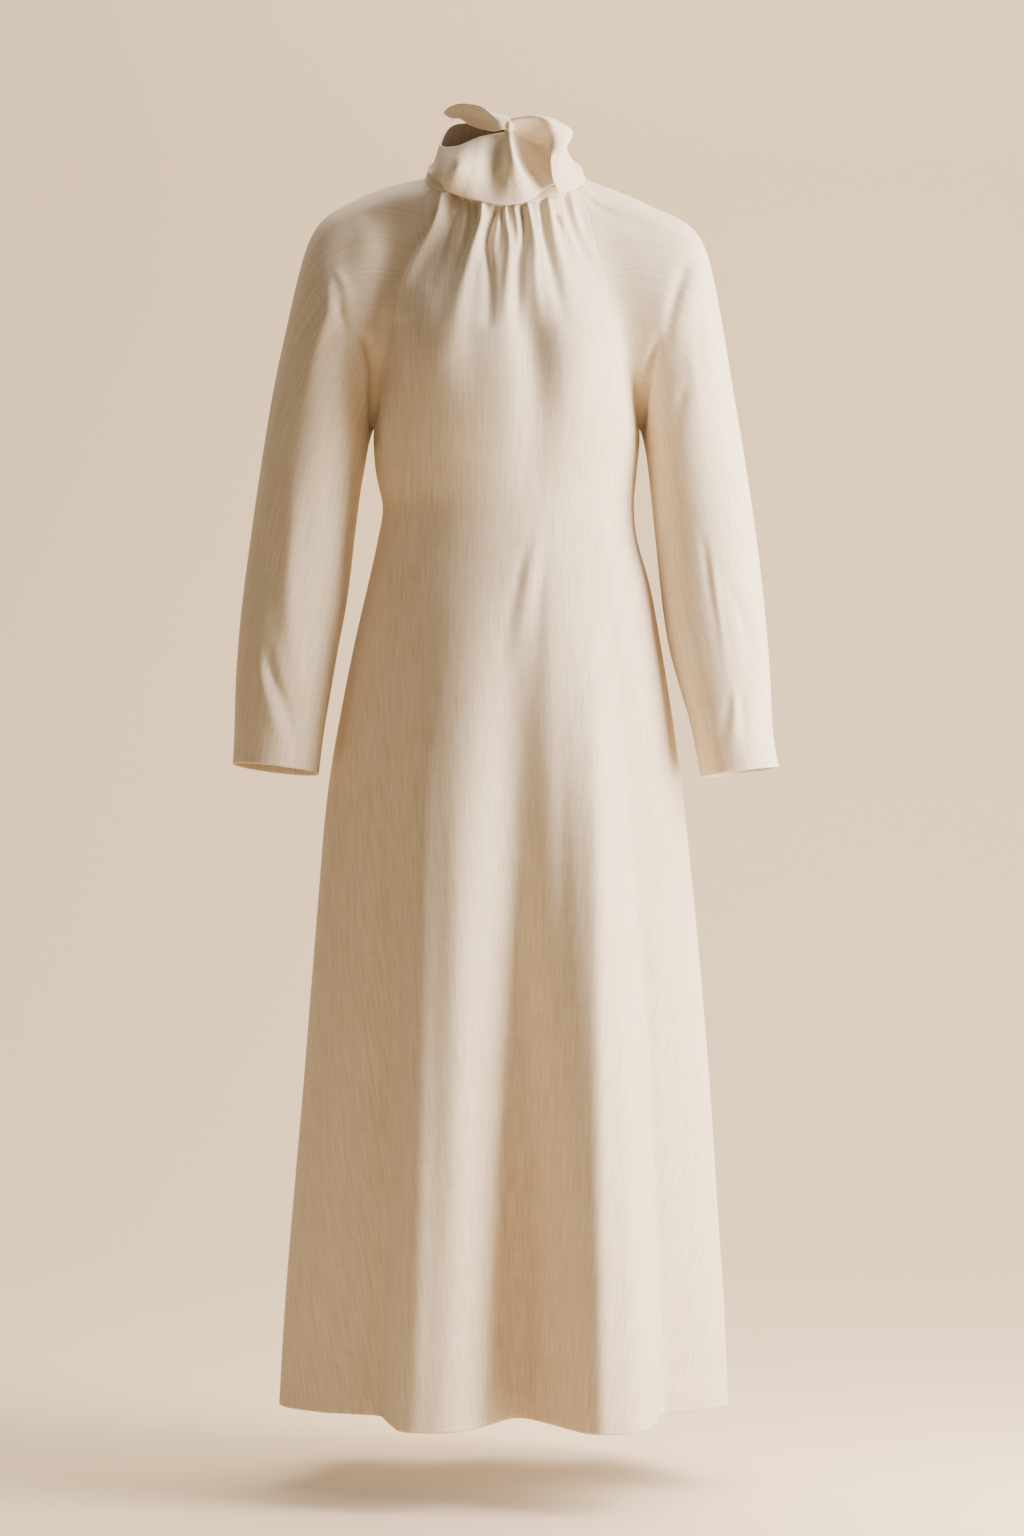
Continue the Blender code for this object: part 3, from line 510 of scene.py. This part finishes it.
def add_shell(name, outer, normals, wall, faces, grain, material, painted_shade_inside=None):
    """Thin closed cloth: the outer face, the same face moved inward, and rounded rims."""
    used, flat = np.unique(faces, return_inverse=True)
    skin = flat.reshape(faces.shape)
    count = len(used)
    outer, normals, wall = outer[used], normals[used], wall[used, None]
    inner = outer - normals * wall
    ways = rim_ways(outer, skin)
    ways -= normals * (ways * normals).sum(axis=1)[:, None]
    rounded = (outer + inner) / 2 + ways * wall * RIM_ROUND
    begin, end = rim_corners(skin)
    a, b = skin.reshape(-1)[begin], skin.reshape(-1)[end]
    near = np.stack([b, a, a + 2 * count, b + 2 * count], axis=1)
    far = np.stack([b + 2 * count, a + 2 * count, a + count, b + count], axis=1)
    rim_grain = grain.reshape(-1, 2)[np.stack([end, begin, begin, end], axis=1)]
    every_face = np.vstack([skin, skin[:, ::-1] + count, near, far])
    every_grain = np.vstack([grain, grain[:, ::-1], rim_grain, rim_grain])
    used, flat = np.unique(every_face, return_inverse=True)
    points = np.vstack([outer, inner, rounded])[used]
    obj = add_cloth(name, points, flat.reshape(-1, 4), every_grain, material)
    # A second material, when given, goes on the inner face: painted shade, a dark linen for an inside that
    # lies in shade.
    if painted_shade_inside:
        obj.data.materials.append(painted_shade_inside)
        numbers = np.zeros(len(every_face), dtype=int)
        numbers[len(skin):2 * len(skin)] = 1
        obj.data.polygons.foreach_set("material_index", numbers)
    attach(obj, "root")
    return obj


def eased(points, faces, panel):
    """The sheet with the shoulders smoothed on both sides of the raglan seams."""
    in_body = panel < SLEEVE_PANELS
    seam = np.intersect1d(faces[in_body], faces[~in_body])
    nearest = np.full(len(points), np.inf)
    for place in points[seam]:
        nearest = np.minimum(nearest, np.linalg.norm(points - place, axis=1))
    weight = np.exp(-((nearest / SEAM_EASE) ** 2))
    weight *= np.clip((points[:, 2] - UNDERARM_Z) / UNDERARM_KEPT, 0, 1)
    weight[faces.reshape(-1)[rim_corners(faces)[0]]] = 0.0
    ends = np.stack([faces, np.roll(faces, -1, axis=1)], axis=-1).reshape(-1, 2)
    both = np.concatenate([ends[:, 0], ends[:, 1]])
    other = np.concatenate([ends[:, 1], ends[:, 0]])
    count = np.bincount(both, minlength=len(points))
    for _ in range(SEAM_EASE_STEPS):
        total = np.stack([np.bincount(both, points[other, axis], len(points)) for axis in range(3)], axis=1)
        points = points + SEAM_EASE_PULL * weight[:, None] * (total / count[:, None] - points)
    return points


def run_lengths(line):
    """How far along a line each of its points lies."""
    return np.concatenate([[0], np.cumsum(np.linalg.norm(np.diff(line, axis=0), axis=1))])


def on_line(places, line):
    """How far each place is from a line, and how far along the line it lies."""
    lengths = run_lengths(line)
    away = np.full(len(places), np.inf)
    along = np.zeros(len(places))
    for i in range(len(line) - 1):
        step = line[i + 1] - line[i]
        part = np.clip(((places - line[i]) @ step) / (step @ step), 0, 1)
        distance = np.linalg.norm(places - line[i] - part[:, None] * step, axis=1)
        closer = distance < away
        away[closer] = distance[closer]
        along[closer] = (lengths[i] + part * (lengths[i + 1] - lengths[i]))[closer]
    return away, along


def fold_lift(places, folds):
    """How far the folds move each (x, z) place along the cloth's normal."""
    lift = np.zeros(len(places))
    for kind, (width, out, *line) in [(kind, fold) for kind in folds for fold in folds[kind]]:
        line = through(np.array(line, float) * MM, np.linspace(0, len(line) - 1, FOLD_POINTS))
        reach = max(width) * MM * FOLD_REACH
        low, high = line.min(axis=0) - reach, line.max(axis=0) + reach
        near = np.flatnonzero(((places > low) & (places < high)).all(axis=1))
        away, along = on_line(places[near], line)
        share = along / run_lengths(line)[-1]
        half = (width[0] + (width[1] - width[0]) * share) * MM
        if kind == "gather":
            begun = np.clip(GATHER_START + along / GATHER_ROOM, 0, 1)
        else:
            begun = smooth_step(share, 0.0, SOFT_GROWTH)
        height = out * MM * begun * (1 - share) ** FOLD_FADE[kind]
        lift[near] += height * np.exp(-((away / half) ** 2) * FOLD_FALL)
    return lift


def form_lift(places, forms):
    """How far broad soft forms move each (x, z) place along the cloth's normal."""
    lift = np.zeros(len(places))
    for size, out, middle in forms:
        apart = (places - np.array(middle) * MM) / (np.array(size) * MM)
        lift += out * MM * np.exp(-(apart**2).sum(axis=1))
    return lift


def smooth_step(values, low, high):
    part = np.clip((values - low) / (high - low), 0, 1)
    return part * part * (3 - 2 * part)


STITCH_HEIGHT = 7.5 * MM  # the hem's stitches lie this far above the edge
STITCH_PITCH = 3.6 * MM
STITCH_SHARE = 0.78  # the rest of the pitch is the gap between two stitches
STITCH_THREAD = 0.45 * MM
STITCH_SINK = 0.25 * MM  # the thread draws the cloth in
ROW_SPACE = 1.2 * MM  # one or two rows of the sheet's points are this near to the stitches
ROW_SAME = 0.4 * MM  # points this close in height are in the same row
STITCH_PROUD = 0.6  # how far the stitch's middle stands out, in threads
STITCH_FLAT = 0.7  # the thread's thickness, as a share of its width
STITCH_SIDES = 6
STITCH_ENDS = (0.0, 0.5, 1.0)  # the places along the stitch, then how far out and how wide each is
STITCH_OUT = (0.1, 1.0, 0.1)
STITCH_WIDE = (0.5, 1.0, 0.5)
SEAM_NEAR = 0.4 * MM  # sleeve points this close to the grain's middle are on the seam
PANEL_NAMES = ("dress_front", "dress_back_right", "dress_back_left", "sleeve_right", "sleeve_left")
SLEEVE_PANELS = 3  # the panels from this number on are sleeves
SAME_PLACE = 6  # points that agree to this many decimals are one


def panel_sheets():
    """Each panel's rows, whether it closes into a ring, whether its faces are turned
    over, and the column down which its grain runs."""
    return (
        (front_rows(), False, False, FRONT_COLUMNS // 2),
        (back_rows(1), False, False, BACK_COLUMNS),
        (back_rows(-1), False, True, BACK_COLUMNS),
        (sleeve_rows(SLEEVE_RIGHT, 1), True, False, 0),
        (sleeve_rows(SLEEVE_LEFT, -1), True, True, 0),
    )


def joined_sheet():
    """The panels as one continuous, subdivided sheet, with each face's panel number."""
    points, faces, grain, panel = [], [], [], []
    for number, (rows, closed, turned, middle) in enumerate(panel_sheets()):
        own = sheet_faces(rows, closed) + sum(len(part) for part in points)
        own_grain = sheet_grain(rows, closed, middle)
        if turned:
            own, own_grain = own[:, ::-1], own_grain[:, ::-1]
        points.append(np.array(rows).reshape(-1, 3))
        faces.append(own)
        grain.append(own_grain)
        panel.append(np.full(len(own), number))
    joined, number_of = np.unique(np.round(np.vstack(points), SAME_PLACE), axis=0, return_inverse=True)
    faces = number_of.reshape(-1)[np.vstack(faces)]
    grain, panel = np.vstack(grain), np.concatenate(panel)
    return subdivided(eased(joined, faces, panel), faces, grain, panel, SUBDIVISIONS)


def folded(sheet, faces):
    """The sheet with the folds and soft forms laid over its front and back."""
    normals = vertex_normals(sheet, faces)
    places = sheet[:, [0, 2]]
    front_lift = fold_lift(places, FRONT_FOLDS) + form_lift(places, FRONT_FORMS)
    back_lift = fold_lift(places, BEHIND_FOLDS)
    in_front = smooth_step(-normals[:, 1], *FACING)
    behind = smooth_step(normals[:, 1], *FACING)
    return sheet + normals * (in_front * front_lift + behind * back_lift)[:, None]


def hem_points(faces, grain, count):
    """A panel's points in its turned hem, and those in the row that is stitched."""
    mine = np.unique(faces)
    down = np.zeros(count)
    down[faces] = grain[:, :, 1]
    lowest = down[mine].max()
    heights = lowest - STITCH_HEIGHT - down[mine]
    nearby = np.sort(heights[np.abs(heights) < ROW_SPACE])
    row = mine[np.abs(heights - nearby[len(nearby) // 4]) < ROW_SAME]
    return mine[down[mine] > lowest - TURNED_HEM - HEM_STEP / 2], row


def add_panels(material):
    """Front, two backs and two sleeves, cut from one continuous folded sheet."""
    sheet, faces, grain, panel = joined_sheet()
    sheet = folded(sheet, faces)
    normals = vertex_normals(sheet, faces)
    sunk = seam_points(faces, grain, panel)
    sheet[sunk] -= normals[sunk] * SEAM_SINK
    wall = np.full(len(sheet), CLOTH)
    rows = {}
    for number, name in enumerate(PANEL_NAMES):
        own = panel == number
        turned, row = hem_points(faces[own], grain[own], len(sheet))
        wall[turned] = TURNED
        sheet[row] -= normals[row] * STITCH_SINK
        rows[name] = row
    for number, name in enumerate(PANEL_NAMES):
        own = panel == number
        pulled = sheet - rim_ways(sheet, faces[own]) * SEAM_PULL
        shell = add_shell(name + "_cloth", pulled, normals, wall, faces[own], grain[own], material)
        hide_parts(name)
    stitched = {
        "hem": np.unique(np.concatenate([rows[name] for name in PANEL_NAMES[:SLEEVE_PANELS]])),
        "cuff_left": rows["sleeve_left"],
        "cuff_right": rows["sleeve_right"],
    }
    for name, row in stitched.items():
        add_stitches(name + "_stitches", sheet[row], normals[row])


def seam_points(faces, grain, panel):
    """Points on a seam between two panels, or on the seam under a sleeve."""
    owners = np.zeros(faces.max() + 1, dtype=int)
    for number in range(len(PANEL_NAMES)):
        owners[np.unique(faces[panel == number])] += 1
    on_seam = owners > 1
    sleeves = panel >= SLEEVE_PANELS
    under = np.abs(grain[sleeves][:, :, 0]) < SEAM_NEAR
    on_seam[faces[sleeves][under]] = True
    return np.flatnonzero(on_seam)


def in_order(points):
    """The numbers of a closed ring of points, in order round its middle."""
    flat = points[:, :2]
    low, high = flat.min(axis=0), flat.max(axis=0)
    x, y = ((flat - (low + high) / 2) / (high - low)).T
    return np.argsort(np.arctan2(x, y))


def add_stitches(name, points, normals):
    """A row of straight machine stitches round a closed ring of points."""
    order = in_order(points)
    points, normals = points[order], normals[order]
    ring = np.vstack([points, points[:1]])
    facing = np.vstack([normals, normals[:1]])
    lengths = run_lengths(ring)
    count = int(lengths[-1] / STITCH_PITCH)
    sides = range(STITCH_SIDES)
    places, faces = [], []
    for number in range(count):
        at = (number + np.array(STITCH_ENDS) * STITCH_SHARE) * lengths[-1] / count
        line = np.stack([np.interp(at, lengths, ring[:, axis]) for axis in range(3)], axis=1)
        out = unit(np.array([np.interp(at[1], lengths, facing[:, axis]) for axis in range(3)]))
        side = unit(np.cross(out, line[2] - line[0]))
        first = len(places)
        for point, lifted, wide in zip(line, STITCH_OUT, STITCH_WIDE):
            middle = point + out * STITCH_THREAD * STITCH_PROUD * lifted
            for i in sides:
                turn = i * 2 * math.pi / STITCH_SIDES
                spread = side * math.cos(turn) + out * math.sin(turn) * STITCH_FLAT
                places.append(middle + spread * STITCH_THREAD / 2 * wide)
        last = first + 2 * STITCH_SIDES
        for start in (first, first + STITCH_SIDES):
            onward = start + STITCH_SIDES
            for i in sides:
                j = (i + 1) % STITCH_SIDES
                faces.append((start + i, start + j, onward + j, onward + i))
        faces += [tuple(first + i for i in reversed(sides)), tuple(last + i for i in sides)]
    obj = placed(name, mesh_of(name, [tuple(place) for place in places], faces, thread()))
    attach(obj, "root")


def add_node(tree, kind, settings=None, links=None, **attributes):
    """A shader node with its settings by socket name, its links and its attributes."""
    node = tree.nodes.new(kind)
    for name, value in attributes.items():
        setattr(node, name, value)
    for name, value in (settings or {}).items():
        node.inputs[name].default_value = value
    for name, output in (links or {}).items():
        tree.links.new(output, node.inputs[name])
    return node


def new_material(name):
    material = bpy.data.materials.new(name)
    material.use_nodes = True
    material.node_tree.nodes.clear()
    return material


# How often each thread's noise repeats per metre across and down the cloth
THREADS_PER_METRE = {"warp": (800, 36, 0), "slub": (300, 18, 0), "weft": (34, 850, 0)}
WEFT_SHARE = 0.35  # of the weft in the weave; the rest is the warp
SLUB_SHARE = 0.4
TINT_ENDS = (0.36, 0.64)  # where on the noise the dark and the light tint lie


def linen(name, dark, light):
    """Undyed dress linen, plain woven: matt, warm ivory, with faint slubs down the warp.

    The real threads are 0.4 mm apart, too fine to show, so the weave is drawn at about
    1.2 mm, with slubs 3 mm wide and 55 mm long over it.
    """
    material = new_material(name)
    tree = material.node_tree
    flat = add_node(tree, "ShaderNodeUVMap", uv_map="grain").outputs["UV"]
    noise = {}
    for thread_name, scale in THREADS_PER_METRE.items():
        place = add_node(tree, "ShaderNodeMapping", {"Scale": scale}, {"Vector": flat})
        noise[thread_name] = add_node(tree, "ShaderNodeTexNoise", {"Scale": 1.0, "Detail": 2.0},
                                      {"Vector": place.outputs["Vector"]}).outputs["Fac"]
    fine = add_node(tree, "ShaderNodeMix", {0: WEFT_SHARE}, {2: noise["warp"], 3: noise["weft"]},
                    data_type="FLOAT")
    cloth = add_node(tree, "ShaderNodeMix", {0: SLUB_SHARE}, {2: fine.outputs[0], 3: noise["slub"]},
                     data_type="FLOAT")
    tint = add_node(tree, "ShaderNodeValToRGB", None, {"Fac": cloth.outputs[0]})
    for element, position, code in zip(tint.color_ramp.elements, TINT_ENDS, (dark, light)):
        element.position = position
        element.color = srgb(code)
    bump = add_node(tree, "ShaderNodeBump", {"Strength": 0.15, "Distance": 0.3 * MM},
                    {"Height": cloth.outputs[0]})
    shader = add_node(tree, "ShaderNodeBsdfPrincipled",
                      {"Roughness": 0.88, "IOR": 1.5, "Specular IOR Level": 0.25,
                       "Sheen Weight": 0.1, "Sheen Roughness": 0.4},
                      {"Base Color": tint.outputs["Color"], "Normal": bump.outputs["Normal"]})
    add_node(tree, "ShaderNodeOutputMaterial", None, {"Surface": shader.outputs["BSDF"]})
    return material


def thread():
    """Polyester sewing thread, twisted and matched to the linen: a little brighter than it."""
    if "sewing_thread" in bpy.data.materials:
        return bpy.data.materials["sewing_thread"]
    material = new_material("sewing_thread")
    tree = material.node_tree
    grit = add_node(tree, "ShaderNodeTexNoise", {"Scale": 900.0, "Detail": 1.0})
    tint = add_node(tree, "ShaderNodeValToRGB", None, {"Fac": grit.outputs["Fac"]})
    for element, code in zip(tint.color_ramp.elements, ("cdbda6", "ddd0bc")):
        element.color = srgb(code)
    shader = add_node(tree, "ShaderNodeBsdfPrincipled", {"Roughness": 0.6, "IOR": 1.5},
                      {"Base Color": tint.outputs["Color"]})
    add_node(tree, "ShaderNodeOutputMaterial", None, {"Surface": shader.outputs["BSDF"]})
    return material


def paper():
    """Matt studio paper. It glows a little, which keeps the shadow under the hem soft."""
    material = new_material("sweep_paper")
    tree = material.node_tree
    colour = srgb("e9d3b2")
    shader = add_node(tree, "ShaderNodeBsdfPrincipled",
                      {"Base Color": colour, "Roughness": 0.9, "Emission Color": colour,
                       "Emission Strength": 0.24})
    add_node(tree, "ShaderNodeOutputMaterial", None, {"Surface": shader.outputs["BSDF"]})
    return material


# Neckband, collar and tie
DOUBLE_CLOTH = 1.5 * MM  # two layers, pressed
BAND_WALL = 2.0 * MM
BAND_GAP = 0.3 * MM
BAND_HEIGHT = 11 * MM
BAND_LEAN = 3 * MM
BAND_ROWS = 8
COLLAR_COLUMNS = 288
COLLAR_ROWS = 36
LOOP_ROWS = 97
END_ROWS = 73
STRIP_COLUMNS = 33
LOOP_FACING = (0.5, -0.8, 0.3)  # roughly which way the outer side of each strip faces
END_FACING = (0.0, -0.9, 0.4)

# Collar ribs, from centre back round by -X: foot angle in degrees, then, all in
# millimetres, the foot's rise and distance out from the neck seam, a point half way
# up and the point on the top edge.
COLLAR_RIBS = (
    (-180, 12.2, -3, (0, 67, 42), (0, 56, 69)),
    (-150, 12.2, -3, (-46, 58, 34), (-40, 36, 68)),
    (-120, 12.2, -3, (-74, 38, 24), (-60, 14, 61)),
    (-90, 12.2, -3, (-80, 2, 15), (-70, -6, 43)),
    (-66, 13, 1.5, (-75.5, -35, 8), (-68.5, -24, 32.5)),
    (-50, 10, 3.5, (-66.5, -53, 6), (-57, -37, 30.5)),
    (-41, 4.5, 13.5, (-57.5, -87, 3), (-49, -58, 29)),
    (-27, 1.5, 11, (-34, -86, 3), (-29, -62, 37)),
    (-11, 1, 7, (-10.5, -72.5, 6), (-12, -60, 40.5)),
    (3, 1, 6.5, (2.5, -86, 8), (0, -64, 42.3)),
    (16, 2, 8, (10.5, -83, 10), (4.5, -63.5, 42.5)),
    (26, 10, 2.5, (16, -59, 14), (8, -57, 44)),
    (35, 12.8, -3, (29, -43, 22), (19, -42, 49)),
    (43, 12.8, -3, (43, -44, 21), (34, -38, 53)),
    (60, 12.4, -3, (57, -34, 20), (50, -26, 54)),
    (90, 12.2, -3, (69, 0, 24), (61, 4, 56)),
    (120, 12.2, -3, (64, 34, 36), (55, 34, 62)),
    (150, 12.2, -3, (43, 57, 42), (37, 54, 69)),
)
COLLAR_RIDGES = (
    ((3, 4.5), 2.4, (4, 43), (5.5, 24), (12, 1), (22, -15), (35, -27)),
)
COLLAR_FOLDS = (
    ((4, 9), -2.6, (-3, 36), (-5, 22), (-4, 8), (1, -8), (10, -25)),
    ((4, 7), -2.0, (16, 33), (18, 15), (23, -4), (34, -22)),
    ((5, 6), -2.0, (-54, 12), (-59, -2), (-60, -14)),
    ((4, 6), 1.2, (-63, 28), (-71, 12), (-76, -2)),
)

# The loop, from the knot over to the right and down: its free front edge, its
# crest and its back edge, in millimetres.
LOOP_SECTIONS = (
    ((2.5, -64, 46), (2.5, -66.5, 53), (3, -60, 58.5)),
    ((18, -50, 37.5), (18, -71, 55.5), (20, -58, 60)),
    ((33, -48, 31.5), (33.5, -75.5, 55), (36, -56, 60.7)),
    ((43.5, -62, 28), (48.5, -78, 49), (56, -45, 57)),
    ((47.5, -77, 15), (64, -66, 35), (71.5, -39, 46)),
    ((48.5, -77, 2), (61, -66, 19), (65.5, -37, 31)),
    ((50, -77, -9), (60.5, -64, 5), (60.5, -35, 22)),
    ((53, -76, -17), (68, -59, -7), (73.5, -31, 11)),
    ((56, -75, -25), (72.5, -57, -15), (85.5, -27, -1)),
)

# The tie end, from the knot to its tip: lower edge, middle and upper edge, in millimetres.
END_SECTIONS = (
    ((3.5, -69, 45.5), (3.5, -69, 53), (3.5, -62, 58.5)),
    ((-4, -70, 44), (-8.5, -71, 53), (-16, -67, 62.5)),
    ((-12, -64, 43.2), (-15, -65, 54), (-23, -66, 66)),
    ((-25, -56, 46.2), (-25.5, -58.5, 57), (-28, -63, 69.2)),
    ((-38.5, -50, 51.6), (-38.5, -52.5, 62.5), (-38.5, -56.5, 72.5)),
    ((-49, -45, 59.2), (-49, -47, 66.5), (-49, -50.5, 73.8)),
    ((-58, -40, 60.5), (-59.5, -41.5, 66.5), (-59, -44, 72.2)),
    ((-63, -39, 63), (-66.5, -39, 66), (-64.5, -40, 69.5)),
)
KNOT_PLACE = (0.0035, -0.064, 0.0475)
KNOT_RADII = (0.0048, 0.0066, 0.0056)
KNOT_GROOVE = 0.16  # how deep the grooves beside the middle wrap are, as a share of the radius
KNOT_COLUMNS = 48
KNOT_ROWS = 33
KNOT_HOLE = 0.02  # radians left open at each end, where the cloth goes in


def outward_of(angle):
    """The level direction straight out from the neck seam at a body angle."""
    turn = math.radians(angle)
    half = body_at("right" if math.sin(turn) >= 0 else "left", NECK_SEAM_Z)
    depth = body_at("front" if math.cos(turn) >= 0 else "back", NECK_SEAM_Z)
    return unit(np.array([math.sin(turn) / half, -math.cos(turn) / depth, 0.0]))


def ring_angles():
    return [360.0 * i / COLLAR_COLUMNS - 180.0 for i in range(COLLAR_COLUMNS)]


def add_double(name, rows, closed, wall, material, facing=None, folds=None, painted_shade_inside=None):
    """A piece of doubled cloth through a grid of points, with its folds laid on."""
    faces = sheet_faces(rows, closed)
    grain = sheet_grain(rows, closed, 0)
    points = np.array(rows).reshape(-1, 3)
    normals = vertex_normals(points, faces)
    if facing and normals.mean(axis=0) @ np.array(facing) < 0:
        faces, grain, normals = faces[:, ::-1], grain[:, ::-1], -normals
    if folds:
        in_front = smooth_step(-normals[:, 1], *COLLAR_FACING)
        points = points + normals * (in_front * fold_lift(points[:, [0, 2]], folds))[:, None]
        normals = vertex_normals(points, faces)
    wall = np.full(len(points), wall)
    shell = add_shell(name + "_cloth", points, normals, wall, faces, grain, material, painted_shade_inside)
    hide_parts(name)


def add_neckband(material):
    """The narrow ring above the gathers, a little proud of them."""
    ways = np.array([outward_of(angle) for angle in ring_angles()])
    seam = np.array([body_point(angle, NECK_SEAM_Z) for angle in ring_angles()]) + ways * BAND_GAP
    shares = np.linspace(1, 0, BAND_ROWS)
    rows = [seam - ways * BAND_LEAN * up + np.array([0, 0, BAND_GAP + BAND_HEIGHT * up]) for up in shares]
    add_double("neckband", rows, True, BAND_WALL, material)


def add_collar(material, painted_shade_inside):
    """The stand-up collar: bellied in front, folded towards the knot at its top."""
    ribs = [[angle, rise, out, *middle, *top] for angle, rise, out, middle, top in COLLAR_RIBS]
    turns = range(-2, len(ribs) + 3)
    around = np.array([ribs[i % len(ribs)] for i in turns], float)
    around[:, 0] += [360.0 * (i // len(ribs)) for i in turns]
    around[:, 1:] *= MM
    lines = []
    for angle in ring_angles():
        rise, out, *rest = through(around[:, 1:], angle, around[:, 0])
        seam = body_point(angle, NECK_SEAM_Z)
        foot = seam + outward_of(angle) * (BAND_GAP + out) + np.array([0, 0, rise])
        lines.append(np.array([rest[3:], rest[:3], foot]))
    rows = [[through(line, at) for line in lines] for at in np.linspace(0, 2, COLLAR_ROWS)]
    folds = {"gather": COLLAR_RIDGES, "soft": COLLAR_FOLDS}
    # The collar's inner face takes the dark inside material: painted shade for the hollow of the collar.
    add_double("collar", rows, True, DOUBLE_CLOTH, material, folds=folds, painted_shade_inside=painted_shade_inside)


def add_strip(name, sections, count, facing, material):
    """The loop or the tie end: a strip of doubled cloth through its sections."""
    sections = np.array(sections) * MM
    lines = through(sections.reshape(len(sections), 9), np.linspace(0, len(sections) - 1, count))
    rows = [through(line, np.linspace(0, 2, STRIP_COLUMNS)) for line in lines.reshape(-1, 3, 3)]
    add_double(name, rows, False, DOUBLE_CLOTH, material, facing=facing)


def add_knot(material):
    """The small knot, with soft wraps of cloth round it."""
    turns = np.linspace(0, 2 * math.pi, KNOT_COLUMNS, endpoint=False)
    rows = []
    for tilt in np.linspace(KNOT_HOLE, math.pi - KNOT_HOLE, KNOT_ROWS):
        across, radius = math.cos(tilt), math.sin(tilt)
        wrap = 1 - KNOT_GROOVE * (1 - math.cos(2 * math.pi * across)) / 2
        ring = [np.full(KNOT_COLUMNS, across), -np.cos(turns) * radius, np.sin(turns) * radius]
        rows.append(np.stack(ring, axis=1) * wrap * np.array(KNOT_RADII) + np.array(KNOT_PLACE))
    add_double("tie_knot", rows, True, DOUBLE_CLOTH, material)


# Camera and studio
CAMERA_DISTANCE = 4.4
CAMERA_X = 0.0065
CAMERA_Z = -0.635
VIEW_HEIGHT = 1.65888  # what the picture shows, top to bottom, at the dress's own distance
SENSOR = 36.0  # millimetres, along the picture's height
FLOOR_Z = -1.405
SWEEP_FRONT = -8.0
SWEEP_BEND = 2.0  # where the floor ends, and the radius of the curve from it to the wall
SWEEP_STEPS = 12
SWEEP_FIRST = 0.1  # radians round the bend at its first step
SWEEP_HEIGHT = 7.0
SWEEP_HALF_WIDTH = 9.0
DRESS_MIDDLE = (0.0, 0.0, CAMERA_Z)
KEY_AZIMUTH = 69  # round from the front towards +X
KEY_ELEVATION = 14
KEY_DISTANCE = 1.25
KEY_SIZE = (0.6, 2.2)
KEY_POWER = 95
KEY_COLOUR = "fff5e9"
OVERHEAD_PLACE = (1.2, 2.0, 2.8)
OVERHEAD_AIM = (1.3, 2.4, FLOOR_Z)
OVERHEAD_SIZE = (4.5, 4.5)
OVERHEAD_POWER = 370
OVERHEAD_COLOUR = "fff2e0"
WORLD_COLOUR = "ebe7e4"
WORLD_STRENGTH = 0.2


def add_camera():
    camera = bpy.data.cameras.new("camera")
    camera.sensor_fit = "VERTICAL"
    camera.sensor_height = SENSOR
    camera.lens = SENSOR * CAMERA_DISTANCE / VIEW_HEIGHT
    obj = placed("camera", camera)
    obj.location = (CAMERA_X, -CAMERA_DISTANCE, CAMERA_Z)
    obj.rotation_euler = (math.radians(90), 0, 0)
    bpy.context.scene.camera = obj


def add_studio():
    """A pale paper sweep: floor, curve and wall in one sheet."""
    profile = [(SWEEP_FRONT, 0.0), (SWEEP_BEND, 0.0)]
    for turn in np.linspace(SWEEP_FIRST, math.pi / 2, SWEEP_STEPS):
        profile.append((SWEEP_BEND * (1 + math.sin(turn)), SWEEP_BEND * (1 - math.cos(turn))))
    profile.append((2 * SWEEP_BEND, SWEEP_HEIGHT))
    points = [(x, y, FLOOR_Z + z) for y, z in profile for x in (-SWEEP_HALF_WIDTH, SWEEP_HALF_WIDTH)]
    faces = [(2 * i, 2 * i + 1, 2 * i + 3, 2 * i + 2) for i in range(len(profile) - 1)]
    placed("sweep", mesh_of("sweep", points, faces, paper()))


def add_softbox(name, place, aim, size, power, colour):
    light = bpy.data.lights.new(name, "AREA")
    light.shape = "RECTANGLE"
    light.size, light.size_y = size
    light.energy = power
    light.color = srgb(colour)[:3]
    obj = placed(name, light)
    obj.location = place
    way = np.array(aim) - np.array(place)
    level = math.hypot(way[0], way[1])
    obj.rotation_euler = (math.atan2(level, -way[2]), 0, math.atan2(way[1], way[0]) - math.pi / 2)


def away_from(aim, azimuth, elevation, distance):
    """A place seen from the aim: azimuth 0 is straight in front."""
    turn, lift = math.radians(azimuth), math.radians(elevation)
    level = distance * math.cos(lift)
    way = (level * math.sin(turn), -level * math.cos(turn), distance * math.sin(lift))
    return tuple(start + step for start, step in zip(aim, way))


def add_lights():
    """A tall softbox beside the dress, a broad one over the sweep, and a soft room."""
    key_place = away_from(DRESS_MIDDLE, KEY_AZIMUTH, KEY_ELEVATION, KEY_DISTANCE)
    add_softbox("key", key_place, DRESS_MIDDLE, KEY_SIZE, KEY_POWER, KEY_COLOUR)
    add_softbox("overhead", OVERHEAD_PLACE, OVERHEAD_AIM, OVERHEAD_SIZE, OVERHEAD_POWER, OVERHEAD_COLOUR)
    world = bpy.data.worlds.new("studio")
    world.use_nodes = True
    background = world.node_tree.nodes["Background"].inputs
    background["Color"].default_value = srgb(WORLD_COLOUR)
    background["Strength"].default_value = WORLD_STRENGTH
    bpy.context.scene.world = world


def main():
    add_camera()
    add_studio()
    add_lights()
    cloth = linen("dress_linen", "d0bc9f", "e9d9c1")
    doubled = linen("dress_linen_doubled", "d6c3a6", "ecdcc4")
    add_panels(cloth)
    add_neckband(doubled)
    # The collar's inside linen is painted shade: far darker than the cloth, so the collar's hollow reads
    # dark.
    add_collar(doubled, linen("dress_linen_painted_shade", "42321f", "4f3d28"))
    add_strip("tie_loop_right", LOOP_SECTIONS, LOOP_ROWS, LOOP_FACING, doubled)
    add_strip("tie_end_left", END_SECTIONS, END_ROWS, END_FACING, doubled)
    add_knot(doubled)


main()
